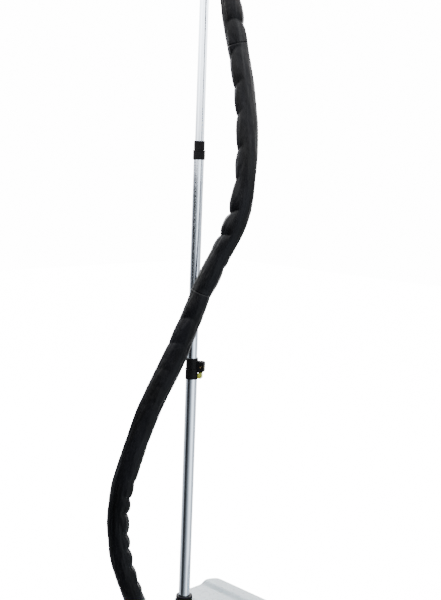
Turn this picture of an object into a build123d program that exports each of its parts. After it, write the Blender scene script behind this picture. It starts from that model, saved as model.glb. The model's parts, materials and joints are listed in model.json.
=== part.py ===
from build123d import *
import math
import os

# Upright garment steamer: wheeled base with boiler and lift-out tank, three-part telescopic
# pole, steam head on a holder, folding hanger and a sleeved steam hose.
# Millimetres. Origin on the floor under the middle of the base, +Z up, front towards -Y.

# Base
BASE_WIDTH = 320
BASE_DEPTH = 300
CORNER_RADIUS = 46
PAN_BOTTOM = 14
SEAM_HEIGHT = 44
WALL = 2.5
DECK_HEIGHT = 104
FRONT_HEIGHT = 74
SLOPE_DEPTH = 90
TRAY_HEIGHT = 62
POCKET_X = 27
EDGE_ROUND = 6
FOOT_RADIUS = 13
WHEEL_RADIUS = 24
WHEEL_WIDTH = 16
AXLE_RADIUS = 3

# Pole
POLE_BACK = 55
TUBE_WALL = 1.1
BUSH_ROOM = 0.8
TUBE_STEP = 2 * TUBE_WALL + BUSH_ROOM
MIDDLE_DIAMETER = 22
LOWER_DIAMETER = MIDDLE_DIAMETER + TUBE_STEP
TOP_DIAMETER = MIDDLE_DIAMETER - TUBE_STEP
COLUMN_RADIUS = 21
COLUMN_TOP = 184
RING_TOP = 196
LOWER_VISIBLE = 494
LOWER_CLAMP_HEIGHT = 46
MIDDLE_VISIBLE = 424
UPPER_CLAMP_HEIGHT = 39
TOP_VISIBLE = 345
SLIDE_TRAVEL = 320
BUSH_HEIGHT = 40
BUSH_RIM = 3
MIDDLE_INSERT = 110
TOP_INSERT = 90
SOCKET_R = 17
STEM_R = 15.4
STEM_HEIGHT = 8

# Pole clamps
EAR_REACH = 28
EAR_WIDTH = 14
PIN_REACH = 21
PIN_R = 2
CAM_R = 5.6
LEVER_WIDTH = 6.4
LOWER_EAR_TURN = -60
UPPER_EAR_TURN = 45
LOWER_SLEEVE = 20
UPPER_SLEEVE = 18
LOWER_SLEEVE_WALL = 1.3
UPPER_SLEEVE_WALL = 2
GRIP_WALL = 2.2

# Tank
TANK_HEIGHT = 172
TANK_HUMP_HEIGHT = 180
TANK_HUMP_WIDTH = 48
TANK_WALL = 2.4
TANK_LIFT_GAP = 2
NECK_R = 13.5
CAP_R = 18.5
PLUNGER_R = 3
VALVE_SEAT_R = 13
VALVE_WELL_R = 21

# Boiler
BOILER_LENGTH = 100
BOILER_DEPTH = 70
BOILER_HEIGHT = 34
BOILER_WALL = 8
GASKET = 1.5
LID = 4
LID_PORT = 10
STEAM_TUBE_DROP = 13.5
HEATER_R = 4
FEED_R = 3.5
SCREW_R = 1.6

# Outlet elbow beside the pole, and the nut that holds the hose on its stub
ELBOW_FLANGE_R = 38
ELBOW_X = -82
ELBOW_Y = 92
DOME_X = -63
DOME_Y = 81
DOME_R = 17.5
DOME_TOP = 172
STUB_R = 12.5
NUT_R = 22
NUT_LENGTH = 20
STEAM_IN_X = -92
STEAM_IN_Y = 97

# Steam head
HANDLE_RADIUS = 18
HANDLE_LENGTH = 100
HEAD_WIDTH = 130
HEAD_DEPTH = 50
HEAD_HEIGHT = 88
HEAD_WALL = 2.2
PLATE_HALF_W = 53
PLATE_HALF_H = 32
HEAD_PORT_R = 11
TRIGGER_HALF = 7
TRIGGER_LENGTH = 28
CUFF_LENGTH = 26

# Holder and hanger
HOLDER_HEIGHT = 62
HUB_HEIGHT = 34
HUB_HALF = 30
FORK_GAP = 20.5
FORK_ARM = 8
HANGER_REACH = 205
ARM_THICK = 7
ARM_PIN_X = 22

# Hose
HOSE_DIAMETER = 40

# Fits
RUN_GAP = 0.05
FREE_GAP = 0.3
SEAT_GAP = 1.5

# Places that are set by hand
BOILER_X = -82
BOILER_Y = -22
VALVE_Y = 20
KNOB_X = -70
KNOB_Y = -20
LENS_X = -30
GLAND_X = -105
GLAND_Z = 72
HEAD_FORWARD = 74

# Worked-out places
PAN_FLOOR = PAN_BOTTOM + WALL
PAN_BOSS_TOP = PAN_FLOOR + 8
POST_TOP = SEAM_HEIGHT + 8
DECK_UNDER = DECK_HEIGHT - WALL
TRAY_UNDER = TRAY_HEIGHT - WALL
WHEEL_X = BASE_WIDTH / 2 - 42
WHEEL_Y = BASE_DEPTH / 2 - 32
WELL_TOP = 2 * WHEEL_RADIUS + 4
FOOT_X = BASE_WIDTH / 2 - 40
FOOT_Y = -BASE_DEPTH / 2 + 35
POST_X = BASE_WIDTH / 2 - 22
POST_FRONT_Y = -BASE_DEPTH / 2 + 85
POST_REAR_Y = POST_FRONT_Y + 93

POLE_Y = BASE_DEPTH / 2 - POLE_BACK
LOWER_R = LOWER_DIAMETER / 2
MIDDLE_R = MIDDLE_DIAMETER / 2
TOP_R = TOP_DIAMETER / 2
TUBE_FOOT = PAN_BOSS_TOP + 6
LOWER_TOP = RING_TOP + LOWER_VISIBLE
LOWER_CLAMP_TOP = LOWER_TOP + LOWER_CLAMP_HEIGHT
MIDDLE_TOP = LOWER_CLAMP_TOP + MIDDLE_VISIBLE
UPPER_CLAMP_TOP = MIDDLE_TOP + UPPER_CLAMP_HEIGHT
MIDDLE_BOTTOM = LOWER_TOP - MIDDLE_INSERT
TOP_BOTTOM = MIDDLE_TOP - TOP_INSERT
HOLDER_BOTTOM = UPPER_CLAMP_TOP + TOP_VISIBLE
HOLDER_TOP = HOLDER_BOTTOM + HOLDER_HEIGHT
HUB_TOP = HOLDER_TOP + HUB_HEIGHT
ARM_PIN_Z = HUB_TOP - 13

HEAD_Y = POLE_Y - HEAD_FORWARD
HANDLE_BOTTOM = HOLDER_TOP - HANDLE_LENGTH
HEAD_BOTTOM = HOLDER_TOP
HEAD_TOP = HEAD_BOTTOM + HEAD_HEIGHT
HEAD_FRONT = HEAD_Y - HEAD_DEPTH / 2
HEAD_BACK = HEAD_Y + HEAD_DEPTH / 2
PLATE_Z = HEAD_BOTTOM + HEAD_HEIGHT / 2
TRIGGER_Z = HEAD_BOTTOM - 34
CUFF_MOUTH = HANDLE_BOTTOM - CUFF_LENGTH + 9

BOILER_Z = PAN_FLOOR + 6
BOILER_TOP = BOILER_Z + BOILER_HEIGHT
LID_TOP = BOILER_TOP + GASKET + LID
FEED_Z = BOILER_Z + 16
STEAM_PORT_X = BOILER_X
STEAM_PORT_Y = BOILER_Y + 20
HEATER_X0 = BOILER_X - BOILER_LENGTH / 2 - 12
HEATER_X1 = BOILER_X + BOILER_LENGTH / 2 - 14
HEATER_Y0 = BOILER_Y - 20
HEATER_Y1 = BOILER_Y + 20

TANK_X0 = POCKET_X + SEAT_GAP
TANK_X1 = BASE_WIDTH / 2 - 1
TANK_Y0 = -BASE_DEPTH / 2 + 4
TANK_Y1 = BASE_DEPTH / 2 - 1
TANK_Z0 = TRAY_HEIGHT + TANK_LIFT_GAP
VALVE_X = (TANK_X0 + TANK_X1) / 2
SEAT_TOP = TRAY_HEIGHT - 12
SEAT_PORT_Z = PAN_FLOOR + 14
CAP_BOTTOM = SEAT_TOP + 3.5

# Hose route from the head's cuff down to the outlet, the front of the pole being -Y
ROUTE = [
    (0, 21, CUFF_MOUTH),
    (5, 17, 1440),
    (16, -6, 1345),
    (19, -26, 1240),
    (17, -30, 1135),
    (12, -18, 1035),
    (-22, 24, 935),
    (-43, 54, 840),
    (-71, 76, 745),
    (-114, 101, 645),
    (-148, 113, 545),
    (-178, 123, 440),
    (-175, 117, 330),
    (-145, 109, 242),
    (-117, 104, 181),
    (-103, 101, 132),
]
SPLIT_HIGH = 2
SPLIT_LOW = 7

BASE = (Align.CENTER, Align.CENTER, Align.MIN)
os.makedirs("parts", exist_ok=True)


def write(name, shape):
    export_step(shape, f"parts/{name}.step")


def block(x0, x1, y0, y1, z0, z1):
    return Pos((x0 + x1) / 2, (y0 + y1) / 2, z0) * Box(x1 - x0, y1 - y0, z1 - z0, align=BASE)


def disc(radius, z0, z1, x=0.0, y=0.0):
    return Pos(x, y, z0) * Cylinder(radius, z1 - z0, align=BASE)


def ring(outer, inner, z0, z1, x=0.0, y=0.0):
    return disc(outer, z0, z1, x, y) - disc(inner, z0 - 1, z1 + 1, x, y)


def rod(start, end, radius):
    axis = Vector(*end) - Vector(*start)
    return Plane(origin=start, z_dir=axis) * Cylinder(radius, axis.length, align=BASE)


def cone_rod(start, end, radius_start, radius_end):
    axis = Vector(*end) - Vector(*start)
    return Plane(origin=start, z_dir=axis) * Cone(radius_start, radius_end, axis.length, align=BASE)


def plan(inset, z0, z1):
    outline = RectangleRounded(BASE_WIDTH - 2 * inset, BASE_DEPTH - 2 * inset, CORNER_RADIUS - inset)
    return Pos(0, 0, z0) * extrude(outline, z1 - z0)


def round_path(points):
    """Straight runs joined by arcs as large as the runs allow."""
    corners = [Vector(*p) for p in points]
    radii = []
    for before, here, after in zip(corners, corners[1:], corners[2:]):
        run = min((here - before).length, (after - here).length)
        half = math.radians((here - before).get_angle(after - here)) / 2
        radii.append(0.45 * run / math.tan(half))
    return FilletPolyline(*corners, radius=radii), radii


def pipe(points, outer, inner=0.0):
    path, _ = round_path(points)
    start = Plane(origin=path @ 0, z_dir=path % 0)
    body = sweep(start * Circle(outer), path=path)
    if inner:
        body -= sweep(start * Circle(inner), path=path)
    return body


def cap_screw(x, y, z, direction, length, radius=SCREW_R, head=3.2, head_height=2.2):
    """A pan-head screw whose head stands on (x, y, z) and whose shank runs along direction."""
    way = Vector(*direction)
    seat = Vector(x, y, z)
    shank = rod(tuple(seat), tuple(seat + way * length), radius)
    top = rod(tuple(seat - way * head_height), tuple(seat), head)
    slot = rod(tuple(seat - way * (head_height + 1)), tuple(seat - way * (head_height - 1.2)), head / 2.4)
    return shank + top - slot


# Base


def wheel_wells(grow, top):
    wells = []
    for side in (-1, 1):
        half = WHEEL_WIDTH / 2 + 4 + grow
        reach = WHEEL_RADIUS + 4 + grow
        wells.append(
            block(side * WHEEL_X - half, side * WHEEL_X + half, WHEEL_Y - reach, WHEEL_Y + reach, 0, top)
        )
    return wells


def base_pan():
    outer = plan(0, PAN_BOTTOM, SEAM_HEIGHT)
    outer = fillet(outer.faces().sort_by(Axis.Z)[0].edges(), 9)
    body = outer - plan(WALL, PAN_FLOOR, SEAM_HEIGHT + 1)
    for side in (-1, 1):
        body += disc(FOOT_RADIUS + 4, PAN_BOTTOM, PAN_BOSS_TOP, side * FOOT_X, FOOT_Y)
        body -= disc(FOOT_RADIUS - 3, PAN_BOTTOM - 1, PAN_BOTTOM + 5, side * FOOT_X, FOOT_Y)
    for x, y in pan_screw_places():
        body += disc(6, PAN_FLOOR, POST_TOP, x, y)
    body += disc(COLUMN_RADIUS + 3, PAN_FLOOR, PAN_BOSS_TOP, 0, POLE_Y)
    for dx in (-1, 1):
        for dy in (-1, 1):
            x = BOILER_X + dx * (BOILER_LENGTH / 2 - 10)
            y = BOILER_Y + dy * (BOILER_DEPTH / 2 - 10)
            body += disc(5, PAN_FLOOR, BOILER_Z, x, y)
    for outer_well in wheel_wells(WALL, WELL_TOP + WALL):
        body += outer_well & plan(WALL / 2, PAN_BOTTOM, SEAM_HEIGHT)
        body += outer_well & plan(WALL + FREE_GAP, PAN_BOTTOM, WELL_TOP + WALL)
    for inner_well in wheel_wells(0, WELL_TOP):
        body -= inner_well & plan(2 * WALL, 0, WELL_TOP)
    body -= rod((-BASE_WIDTH / 2 + 8, WHEEL_Y, WHEEL_RADIUS), (BASE_WIDTH / 2 - 8, WHEEL_Y, WHEEL_RADIUS),
                AXLE_RADIUS + RUN_GAP)
    for x, y in pan_screw_places():
        body -= disc(SCREW_R + RUN_GAP, PAN_BOTTOM - 1, POST_TOP + 1, x, y)
        body -= disc(4.2, PAN_BOTTOM - 1, PAN_BOTTOM + 6, x, y)
    return body


def pan_screw_places():
    return [(side * POST_X, y) for side in (-1, 1) for y in (POST_FRONT_Y, POST_REAR_Y)]


def base_feet():
    feet = []
    for side in (-1, 1):
        pad = disc(FOOT_RADIUS, 0, PAN_BOTTOM, side * FOOT_X, FOOT_Y)
        pad = fillet(pad.faces().sort_by(Axis.Z)[0].edges(), 3)
        feet.append(pad + disc(FOOT_RADIUS - 3.1, PAN_BOTTOM, PAN_BOTTOM + 4.9, side * FOOT_X, FOOT_Y))
    return Compound(feet)


def rear_axle():
    reach = WHEEL_X + WHEEL_WIDTH / 2 + 3.5
    return rod((-reach, WHEEL_Y, WHEEL_RADIUS), (reach, WHEEL_Y, WHEEL_RADIUS), AXLE_RADIUS)


def wheel_disc(x0, x1, radius):
    return rod((x0, WHEEL_Y, WHEEL_RADIUS), (x1, WHEEL_Y, WHEEL_RADIUS), radius)


def wheel(side):
    x = side * WHEEL_X
    half = WHEEL_WIDTH / 2
    tyre = fillet(wheel_disc(x - half, x + half, WHEEL_RADIUS).edges(), 3)
    tyre -= wheel_disc(x - half - 1, x + half + 1, AXLE_RADIUS + RUN_GAP)
    for face in (-1, 1):
        inner = x + face * (half - 3)
        outer = x + face * (half + 1)
        tyre -= wheel_disc(inner, outer, WHEEL_RADIUS - 6) - wheel_disc(inner, outer, AXLE_RADIUS + 5)
    for k in range(6):
        angle = math.radians(60 * k)
        y = WHEEL_Y + 12.5 * math.cos(angle)
        z = WHEEL_RADIUS + 12.5 * math.sin(angle)
        tyre -= rod((x - half, y, z), (x + half, y, z), 3)
    return tyre


def housing_form(inset, bottom):
    slab = plan(inset, bottom, TRAY_HEIGHT - inset)
    left = plan(inset, bottom, DECK_HEIGHT - inset)
    pocket_floor = TRAY_HEIGHT - inset - 0.01
    left -= block(POCKET_X - inset, BASE_WIDTH, -BASE_DEPTH, BASE_DEPTH, pocket_floor, DECK_HEIGHT + 1)
    drop = DECK_HEIGHT - FRONT_HEIGHT
    tilt = math.degrees(math.atan2(drop, SLOPE_DEPTH))
    top_edge = Pos(0, -BASE_DEPTH / 2 + SLOPE_DEPTH, DECK_HEIGHT - inset)
    in_front = (Align.CENTER, Align.MAX, Align.MIN)
    left -= top_edge * Rot(tilt, 0, 0) * Box(2 * BASE_WIDTH, 2 * BASE_DEPTH, 60, align=in_front)
    form = slab + left
    rounds = form.edges().filter_by(lambda e: e.bounding_box().min.Z > TRAY_HEIGHT + 2)
    return fillet(rounds, EDGE_ROUND - inset)


def housing_shell():
    body = housing_form(0, SEAM_HEIGHT) - housing_form(WALL, SEAM_HEIGHT - 5)
    body -= disc(SOCKET_R + RUN_GAP, DECK_UNDER - 1, COLUMN_TOP + 1, 0, POLE_Y)
    body += ring(VALVE_WELL_R + WALL, VALVE_WELL_R, TRAY_HEIGHT - 17, TRAY_UNDER, VALVE_X, VALVE_Y)
    body -= disc(VALVE_WELL_R, SEAM_HEIGHT - 1, TRAY_HEIGHT + 1, VALVE_X, VALVE_Y)
    body -= disc(4 + FREE_GAP, DECK_HEIGHT - 9, DECK_HEIGHT + 1, KNOB_X, KNOB_Y)
    body -= disc(4 + RUN_GAP, DECK_HEIGHT - 9, DECK_HEIGHT + 1, LENS_X, KNOB_Y)
    body -= rod((GLAND_X, BASE_DEPTH / 2 - 6, GLAND_Z), (GLAND_X, BASE_DEPTH / 2 + 1, GLAND_Z), 8 + RUN_GAP)
    body -= disc(ELBOW_FLANGE_R + RUN_GAP, DECK_UNDER - 1, DECK_HEIGHT + 1, ELBOW_X, ELBOW_Y)
    for x, y in pan_screw_places():
        boss_top = DECK_UNDER if x < POCKET_X else TRAY_UNDER
        body += ring(5, SCREW_R + RUN_GAP, POST_TOP, boss_top, x, y)
    side_x = -BASE_WIDTH / 2
    for k in range(7):
        y = -12 + 9 * k
        body -= block(side_x - 1, side_x + 4, y, y + 4, SEAM_HEIGHT + 12, SEAM_HEIGHT + 36)
    return body


def pole_cover():
    """Flared cover that stands on the deck round the pole's socket."""
    waist = DECK_HEIGHT + 14
    flare = cone_rod((0, POLE_Y, DECK_HEIGHT), (0, POLE_Y, waist), COLUMN_RADIUS + 7, COLUMN_RADIUS)
    flare &= block(-BASE_WIDTH, POCKET_X - WALL / 2, -BASE_DEPTH, BASE_DEPTH, 0, COLUMN_TOP)
    body = flare + disc(COLUMN_RADIUS, DECK_HEIGHT, COLUMN_TOP, 0, POLE_Y)
    return body - disc(SOCKET_R + RUN_GAP, DECK_HEIGHT - 1, COLUMN_TOP + 1, 0, POLE_Y)


def hose_end_way():
    end = Vector(*ROUTE[-1])
    return end, (Vector(*ROUTE[-2]) - end).normalized()


def outlet_elbow():
    end, way = hose_end_way()
    base = disc(ELBOW_FLANGE_R, DECK_UNDER, DECK_HEIGHT + 1.5, ELBOW_X, ELBOW_Y)
    dome = disc(DOME_R, DECK_HEIGHT, DOME_TOP - DOME_R, DOME_X, DOME_Y)
    dome += Pos(DOME_X, DOME_Y, DOME_TOP - DOME_R) * Sphere(DOME_R)
    dome += cone_rod((DOME_X, DOME_Y, DECK_HEIGHT), (DOME_X, DOME_Y, DECK_HEIGHT + 12), DOME_R + 3, DOME_R)
    root = end - way * 44
    body = base + dome + rod(tuple(root), tuple(end), STUB_R)
    body &= block(-200, 0, 0, 150, DECK_UNDER, 300)
    bore = rod(tuple(end - way * 34), tuple(end + way), 7)
    bore += rod(tuple(end - way * 26), (STEAM_IN_X, STEAM_IN_Y, DECK_UNDER - 1), 5)
    return body - bore


def hose_nut():
    end, way = hose_end_way()
    low = end - way * NUT_LENGTH
    lip = tuple(end - way * 6)
    nut = cone_rod(tuple(low), lip, NUT_R - 3, NUT_R) + rod(lip, tuple(end), NUT_R)
    nut -= rod(tuple(low - way), tuple(end + way), STUB_R + RUN_GAP)
    turn = Plane(origin=tuple(low), z_dir=way)
    for k in range(12):
        nut -= turn * Rot(0, 0, 30 * k) * Pos(NUT_R + 0.8, 0, -1) * Cylinder(2, NUT_LENGTH - 6, align=BASE)
    return nut


def base_screws():
    return Compound([cap_screw(x, y, PAN_BOTTOM + 6, (0, 0, 1), 34) for x, y in pan_screw_places()])


def mains_gland():
    back = BASE_DEPTH / 2
    body = rod((GLAND_X, back - 10, GLAND_Z), (GLAND_X, back, GLAND_Z), 8)
    body += rod((GLAND_X, back - 12, GLAND_Z), (GLAND_X, back - 2.5 - RUN_GAP, GLAND_Z), 10.5)
    return body - rod((GLAND_X, back - 13, GLAND_Z), (GLAND_X, back + 1, GLAND_Z), 3.9)


# Boiler and water


def boiler_box(inset, z0, z1):
    half_l = BOILER_LENGTH / 2 - inset
    half_d = BOILER_DEPTH / 2 - inset
    return block(BOILER_X - half_l, BOILER_X + half_l, BOILER_Y - half_d, BOILER_Y + half_d, z0, z1)


def boiler_block():
    body = boiler_box(0, BOILER_Z, BOILER_TOP)
    body = fillet(body.edges().filter_by(Axis.Z), 10)
    body -= boiler_hollow(BOILER_Z + 12)
    body -= heater_groove()
    for x, y in boiler_screw_places():
        body -= disc(SCREW_R + RUN_GAP, BOILER_TOP - 12, BOILER_TOP + 1, x, y)
    wall_x = BOILER_X + BOILER_LENGTH / 2
    body += rod((wall_x - 1, BOILER_Y, FEED_Z), (wall_x + 12, BOILER_Y, FEED_Z), FEED_R)
    return body - rod((wall_x - 12, BOILER_Y, FEED_Z), (wall_x + 13, BOILER_Y, FEED_Z), 2)


def heating_element():
    z = BOILER_Z + HEATER_R + 1
    path = FilletPolyline((HEATER_X0, HEATER_Y0, z), (HEATER_X1, HEATER_Y0, z), (HEATER_X1, HEATER_Y1, z),
                          (HEATER_X0, HEATER_Y1, z), radius=14)
    return sweep(Plane(origin=path @ 0, z_dir=path % 0) * Circle(HEATER_R), path=path)


def heater_groove():
    """Open channel under the block that the element lies in."""
    side = HEATER_R + FREE_GAP
    top = BOILER_Z + 2 * HEATER_R + 1 + FREE_GAP
    low = BOILER_Z - 1
    groove = block(HEATER_X1 - side - 6, HEATER_X1 + side, HEATER_Y0 - side, HEATER_Y1 + side, low, top)
    for y in (HEATER_Y0, HEATER_Y1):
        groove += block(HEATER_X0, HEATER_X1, y - side, y + side, low, top)
    return groove


def boiler_screw_places():
    half_l = BOILER_LENGTH / 2 - 5
    half_d = BOILER_DEPTH / 2 - 5
    corners = [(-half_l, 0), (half_l, 0), (0, -half_d), (0, half_d)]
    return [(BOILER_X + dx, BOILER_Y + dy) for dx, dy in corners]


def boiler_plate(z0, z1):
    plate = boiler_box(0, z0, z1)
    plate = fillet(plate.edges().filter_by(Axis.Z), 10)
    for x, y in boiler_screw_places():
        plate -= disc(SCREW_R + RUN_GAP, z0 - 1, z1 + 1, x, y)
    return plate


def boiler_hollow(z0):
    return boiler_box(BOILER_WALL, z0, DECK_HEIGHT)


def boiler_gasket():
    return boiler_plate(BOILER_TOP, BOILER_TOP + GASKET) - boiler_hollow(0)


def boiler_lid():
    lid = boiler_plate(BOILER_TOP + GASKET, LID_TOP)
    lid += disc(5, LID_TOP - 0.5, LID_TOP + LID_PORT, STEAM_PORT_X, STEAM_PORT_Y)
    return lid - disc(3, BOILER_TOP, LID_TOP + LID_PORT + 1, STEAM_PORT_X, STEAM_PORT_Y)


def thermostat():
    x = BOILER_X - 26
    body = disc(9, LID_TOP, LID_TOP + 6, x, BOILER_Y) + disc(6.5, LID_TOP + 6, LID_TOP + 9, x, BOILER_Y)
    for side in (-1, 1):
        blade = x + side * 4
        body += block(blade - 0.5, blade + 0.5, BOILER_Y - 2.5, BOILER_Y + 2.5, LID_TOP + 8, LID_TOP + 16)
    return body


def boiler_screws():
    return Compound([cap_screw(x, y, LID_TOP, (0, 0, -1), 16) for x, y in boiler_screw_places()])


def steam_tube():
    start = LID_TOP + LID_PORT
    level = DECK_UNDER - STEAM_TUBE_DROP
    return pipe([(STEAM_PORT_X, STEAM_PORT_Y, start), (STEAM_PORT_X, STEAM_PORT_Y, level),
                 (STEAM_IN_X, STEAM_IN_Y, level), (STEAM_IN_X, STEAM_IN_Y, DECK_UNDER)], 5.5, 3.2)


def feed_tube():
    x0 = BOILER_X + BOILER_LENGTH / 2 + 12
    x1 = VALVE_X - VALVE_SEAT_R - 8
    points = [(x0, BOILER_Y, FEED_Z), (x0 + 18, BOILER_Y + 1, FEED_Z)]
    points += [(x1 - 20, VALVE_Y - 2, SEAT_PORT_Z), (x1, VALVE_Y, SEAT_PORT_Z)]
    return pipe(points, 5, FEED_R)


def valve_seat():
    body = disc(VALVE_SEAT_R, PAN_FLOOR, SEAT_TOP, VALVE_X, VALVE_Y)
    body -= disc(VALVE_SEAT_R - 3, PAN_FLOOR + 6, SEAT_TOP + 1, VALVE_X, VALVE_Y)
    body += disc(2.4, PAN_FLOOR + 5, SEAT_TOP + 3, VALVE_X, VALVE_Y)
    edge = VALVE_X - VALVE_SEAT_R
    body += rod((edge - 8, VALVE_Y, SEAT_PORT_Z), (edge + 1, VALVE_Y, SEAT_PORT_Z), FEED_R)
    return body - rod((edge - 9, VALVE_Y, SEAT_PORT_Z), (edge + 4, VALVE_Y, SEAT_PORT_Z), 2)


def tank_outline(inset):
    """Front outline of the tank: low beside the pole, with a hump along the outer side."""
    x0 = TANK_X0 + inset
    x1 = TANK_X1 - inset
    z0 = TANK_Z0 + inset
    low = TANK_HEIGHT - inset
    high = TANK_HUMP_HEIGHT - inset
    step = TANK_X1 - TANK_HUMP_WIDTH
    corner = 16 - inset
    outline = [
        Line((x0, z0), (x0, low - corner)),
        RadiusArc((x0, low - corner), (x0 + corner, low), corner),
        Line((x0 + corner, low), (step - 14, low)),
        Bezier((step - 14, low), (step, low), (step, high), (step + 14, high)),
        Line((step + 14, high), (x1 - corner, high)),
        RadiusArc((x1 - corner, high), (x1, high - corner), corner),
        Line((x1, high - corner), (x1, z0)),
        Line((x1, z0), (x0, z0)),
    ]
    return make_face(Curve() + outline)


def tank_form(inset):
    outline = tank_outline(inset)
    depth = TANK_Y1 - TANK_Y0 - 2 * inset
    solid = Pos(0, TANK_Y1 - inset, 0) * (Plane.XZ * extrude(outline, depth))
    width = TANK_X1 - TANK_X0 - 2 * inset
    corner = CORNER_RADIUS - 1 - inset
    sketch = Rectangle(width, depth)
    sketch = fillet(sketch.vertices().sort_by(Axis.X)[-2:], corner)
    sketch = fillet(sketch.vertices().sort_by(Axis.X)[:2], 14 - inset)
    centre = Pos((TANK_X0 + TANK_X1) / 2, (TANK_Y0 + TANK_Y1) / 2, 0)
    return solid & (centre * extrude(sketch, 300))


def tank_shell():
    body = tank_form(0) - tank_form(TANK_WALL)
    body += disc(16, TANK_Z0 - 1, TANK_Z0 + 14, VALVE_X, VALVE_Y)
    return body - disc(NECK_R, TANK_Z0 - 2, TANK_Z0 + 15, VALVE_X, VALVE_Y)


def tank_cap():
    body = disc(CAP_R, CAP_BOTTOM, TANK_Z0 - 1.5, VALVE_X, VALVE_Y)
    body += disc(NECK_R - RUN_GAP, TANK_Z0 - 1.5, TANK_Z0 + 12, VALVE_X, VALVE_Y)
    body -= disc(NECK_R - 2.5, CAP_BOTTOM + 4, TANK_Z0 + 13, VALVE_X, VALVE_Y)
    for k in range(16):
        turn = math.radians(22.5 * k)
        body -= disc(1.3, CAP_BOTTOM - 1, TANK_Z0, VALVE_X + (CAP_R + 0.5) * math.cos(turn),
                     VALVE_Y + (CAP_R + 0.5) * math.sin(turn))
    return body - disc(PLUNGER_R + RUN_GAP, CAP_BOTTOM - 1, CAP_BOTTOM + 5, VALVE_X, VALVE_Y)


def tank_seal():
    return ring(16, NECK_R, TANK_Z0 - 1.5, TANK_Z0 - 1, VALVE_X, VALVE_Y)


def valve_plunger():
    stem = disc(PLUNGER_R, SEAT_TOP + 3, CAP_BOTTOM + 10, VALVE_X, VALVE_Y)
    return stem + disc(7, CAP_BOTTOM + 6.5, CAP_BOTTOM + 9, VALVE_X, VALVE_Y)


def valve_spring():
    base = CAP_BOTTOM + 9
    coil = Helix(2.4, 7.2, 5)
    wire = sweep(Plane(origin=coil @ 0, z_dir=coil % 0) * Circle(0.4), path=coil, is_frenet=True)
    return Pos(VALVE_X, VALVE_Y, base + 0.5) * wire


# Controls


def dial_bezel():
    return ring(28, 4 + FREE_GAP, DECK_HEIGHT, DECK_HEIGHT + 2, KNOB_X, KNOB_Y)


def power_knob():
    z0 = DECK_HEIGHT + 2 + FREE_GAP
    body = cone_rod((KNOB_X, KNOB_Y, z0), (KNOB_X, KNOB_Y, z0 + 6), 21, 19)
    body = body + disc(17, z0 + 6, z0 + 10, KNOB_X, KNOB_Y)
    grip = block(KNOB_X - 17, KNOB_X + 17, KNOB_Y - 4.5, KNOB_Y + 4.5, z0 + 5, z0 + 20)
    grip &= disc(17, z0, z0 + 20, KNOB_X, KNOB_Y)
    body += fillet(grip.edges().filter_by(lambda e: e.bounding_box().min.Z > z0 + 19), 2.5)
    body += disc(3, DECK_HEIGHT - 14, z0 + 2, KNOB_X, KNOB_Y)
    return body


def rotary_switch():
    z1 = DECK_UNDER - 2
    body = block(KNOB_X - 12, KNOB_X + 12, KNOB_Y - 12, KNOB_Y + 12, z1 - 14, z1)
    return body - disc(3 + RUN_GAP, z1 - 12.5, z1 + 1, KNOB_X, KNOB_Y)


def indicator_lens():
    body = disc(4, DECK_HEIGHT - 8, DECK_HEIGHT + 0.5, LENS_X, KNOB_Y)
    dome = Pos(LENS_X, KNOB_Y, DECK_HEIGHT - 3.4) * Sphere(5.6)
    return body + (dome & disc(4, DECK_HEIGHT, DECK_HEIGHT + 8, LENS_X, KNOB_Y))


# Pole


def pole_socket():
    stem_top = COLUMN_TOP + STEM_HEIGHT
    body = disc(SOCKET_R, PAN_BOSS_TOP, COLUMN_TOP, 0, POLE_Y)
    body += disc(STEM_R, COLUMN_TOP, stem_top, 0, POLE_Y)
    return body - disc(LOWER_R + RUN_GAP, TUBE_FOOT, stem_top + 1, 0, POLE_Y)


def lock_ring():
    step = COLUMN_TOP + STEM_HEIGHT + FREE_GAP
    body = ring(SOCKET_R + 1.5, STEM_R + RUN_GAP, COLUMN_TOP + FREE_GAP, step, 0, POLE_Y)
    body += ring(SOCKET_R + 1.5, LOWER_R + FREE_GAP, step, RING_TOP, 0, POLE_Y)
    top = body.edges().group_by(Axis.Z)[-1].sort_by(SortBy.LENGTH)[-1:]
    body = fillet(top, 1.6)
    for k in range(18):
        turn = math.radians(20 * k)
        reach = SOCKET_R + 2.3
        body -= disc(1.2, COLUMN_TOP, RING_TOP - 3, reach * math.cos(turn), POLE_Y + reach * math.sin(turn))
    return body


def pole_plug():
    top = MIDDLE_BOTTOM - SLIDE_TRAVEL - BUSH_RIM - 3
    return disc(LOWER_R - TUBE_WALL - RUN_GAP, TUBE_FOOT, top, 0, POLE_Y)


def lower_tube():
    return ring(LOWER_R, LOWER_R - TUBE_WALL, TUBE_FOOT, LOWER_TOP, 0, POLE_Y)


def middle_tube():
    return ring(MIDDLE_R, MIDDLE_R - TUBE_WALL, MIDDLE_BOTTOM, MIDDLE_TOP, 0, POLE_Y)


def top_tube():
    return ring(TOP_R, TOP_R - TUBE_WALL, TOP_BOTTOM, HOLDER_TOP + 20, 0, POLE_Y)


def guide_bush(bottom, tube_r, bore_r):
    """A split plastic bush on a tube's lower end, running inside the next tube down."""
    wear_r = bore_r - RUN_GAP
    body = disc(wear_r, bottom - BUSH_RIM, bottom, 0, POLE_Y)
    body += disc(tube_r - TUBE_WALL - RUN_GAP, bottom, bottom + BUSH_HEIGHT, 0, POLE_Y)
    return body - disc(tube_r - TUBE_WALL - 3, bottom - BUSH_RIM - 1, bottom + BUSH_HEIGHT + 1, 0, POLE_Y)


def place_clamp(turn):
    return Pos(0, POLE_Y, 0) * Rot(0, 0, turn)


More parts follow.
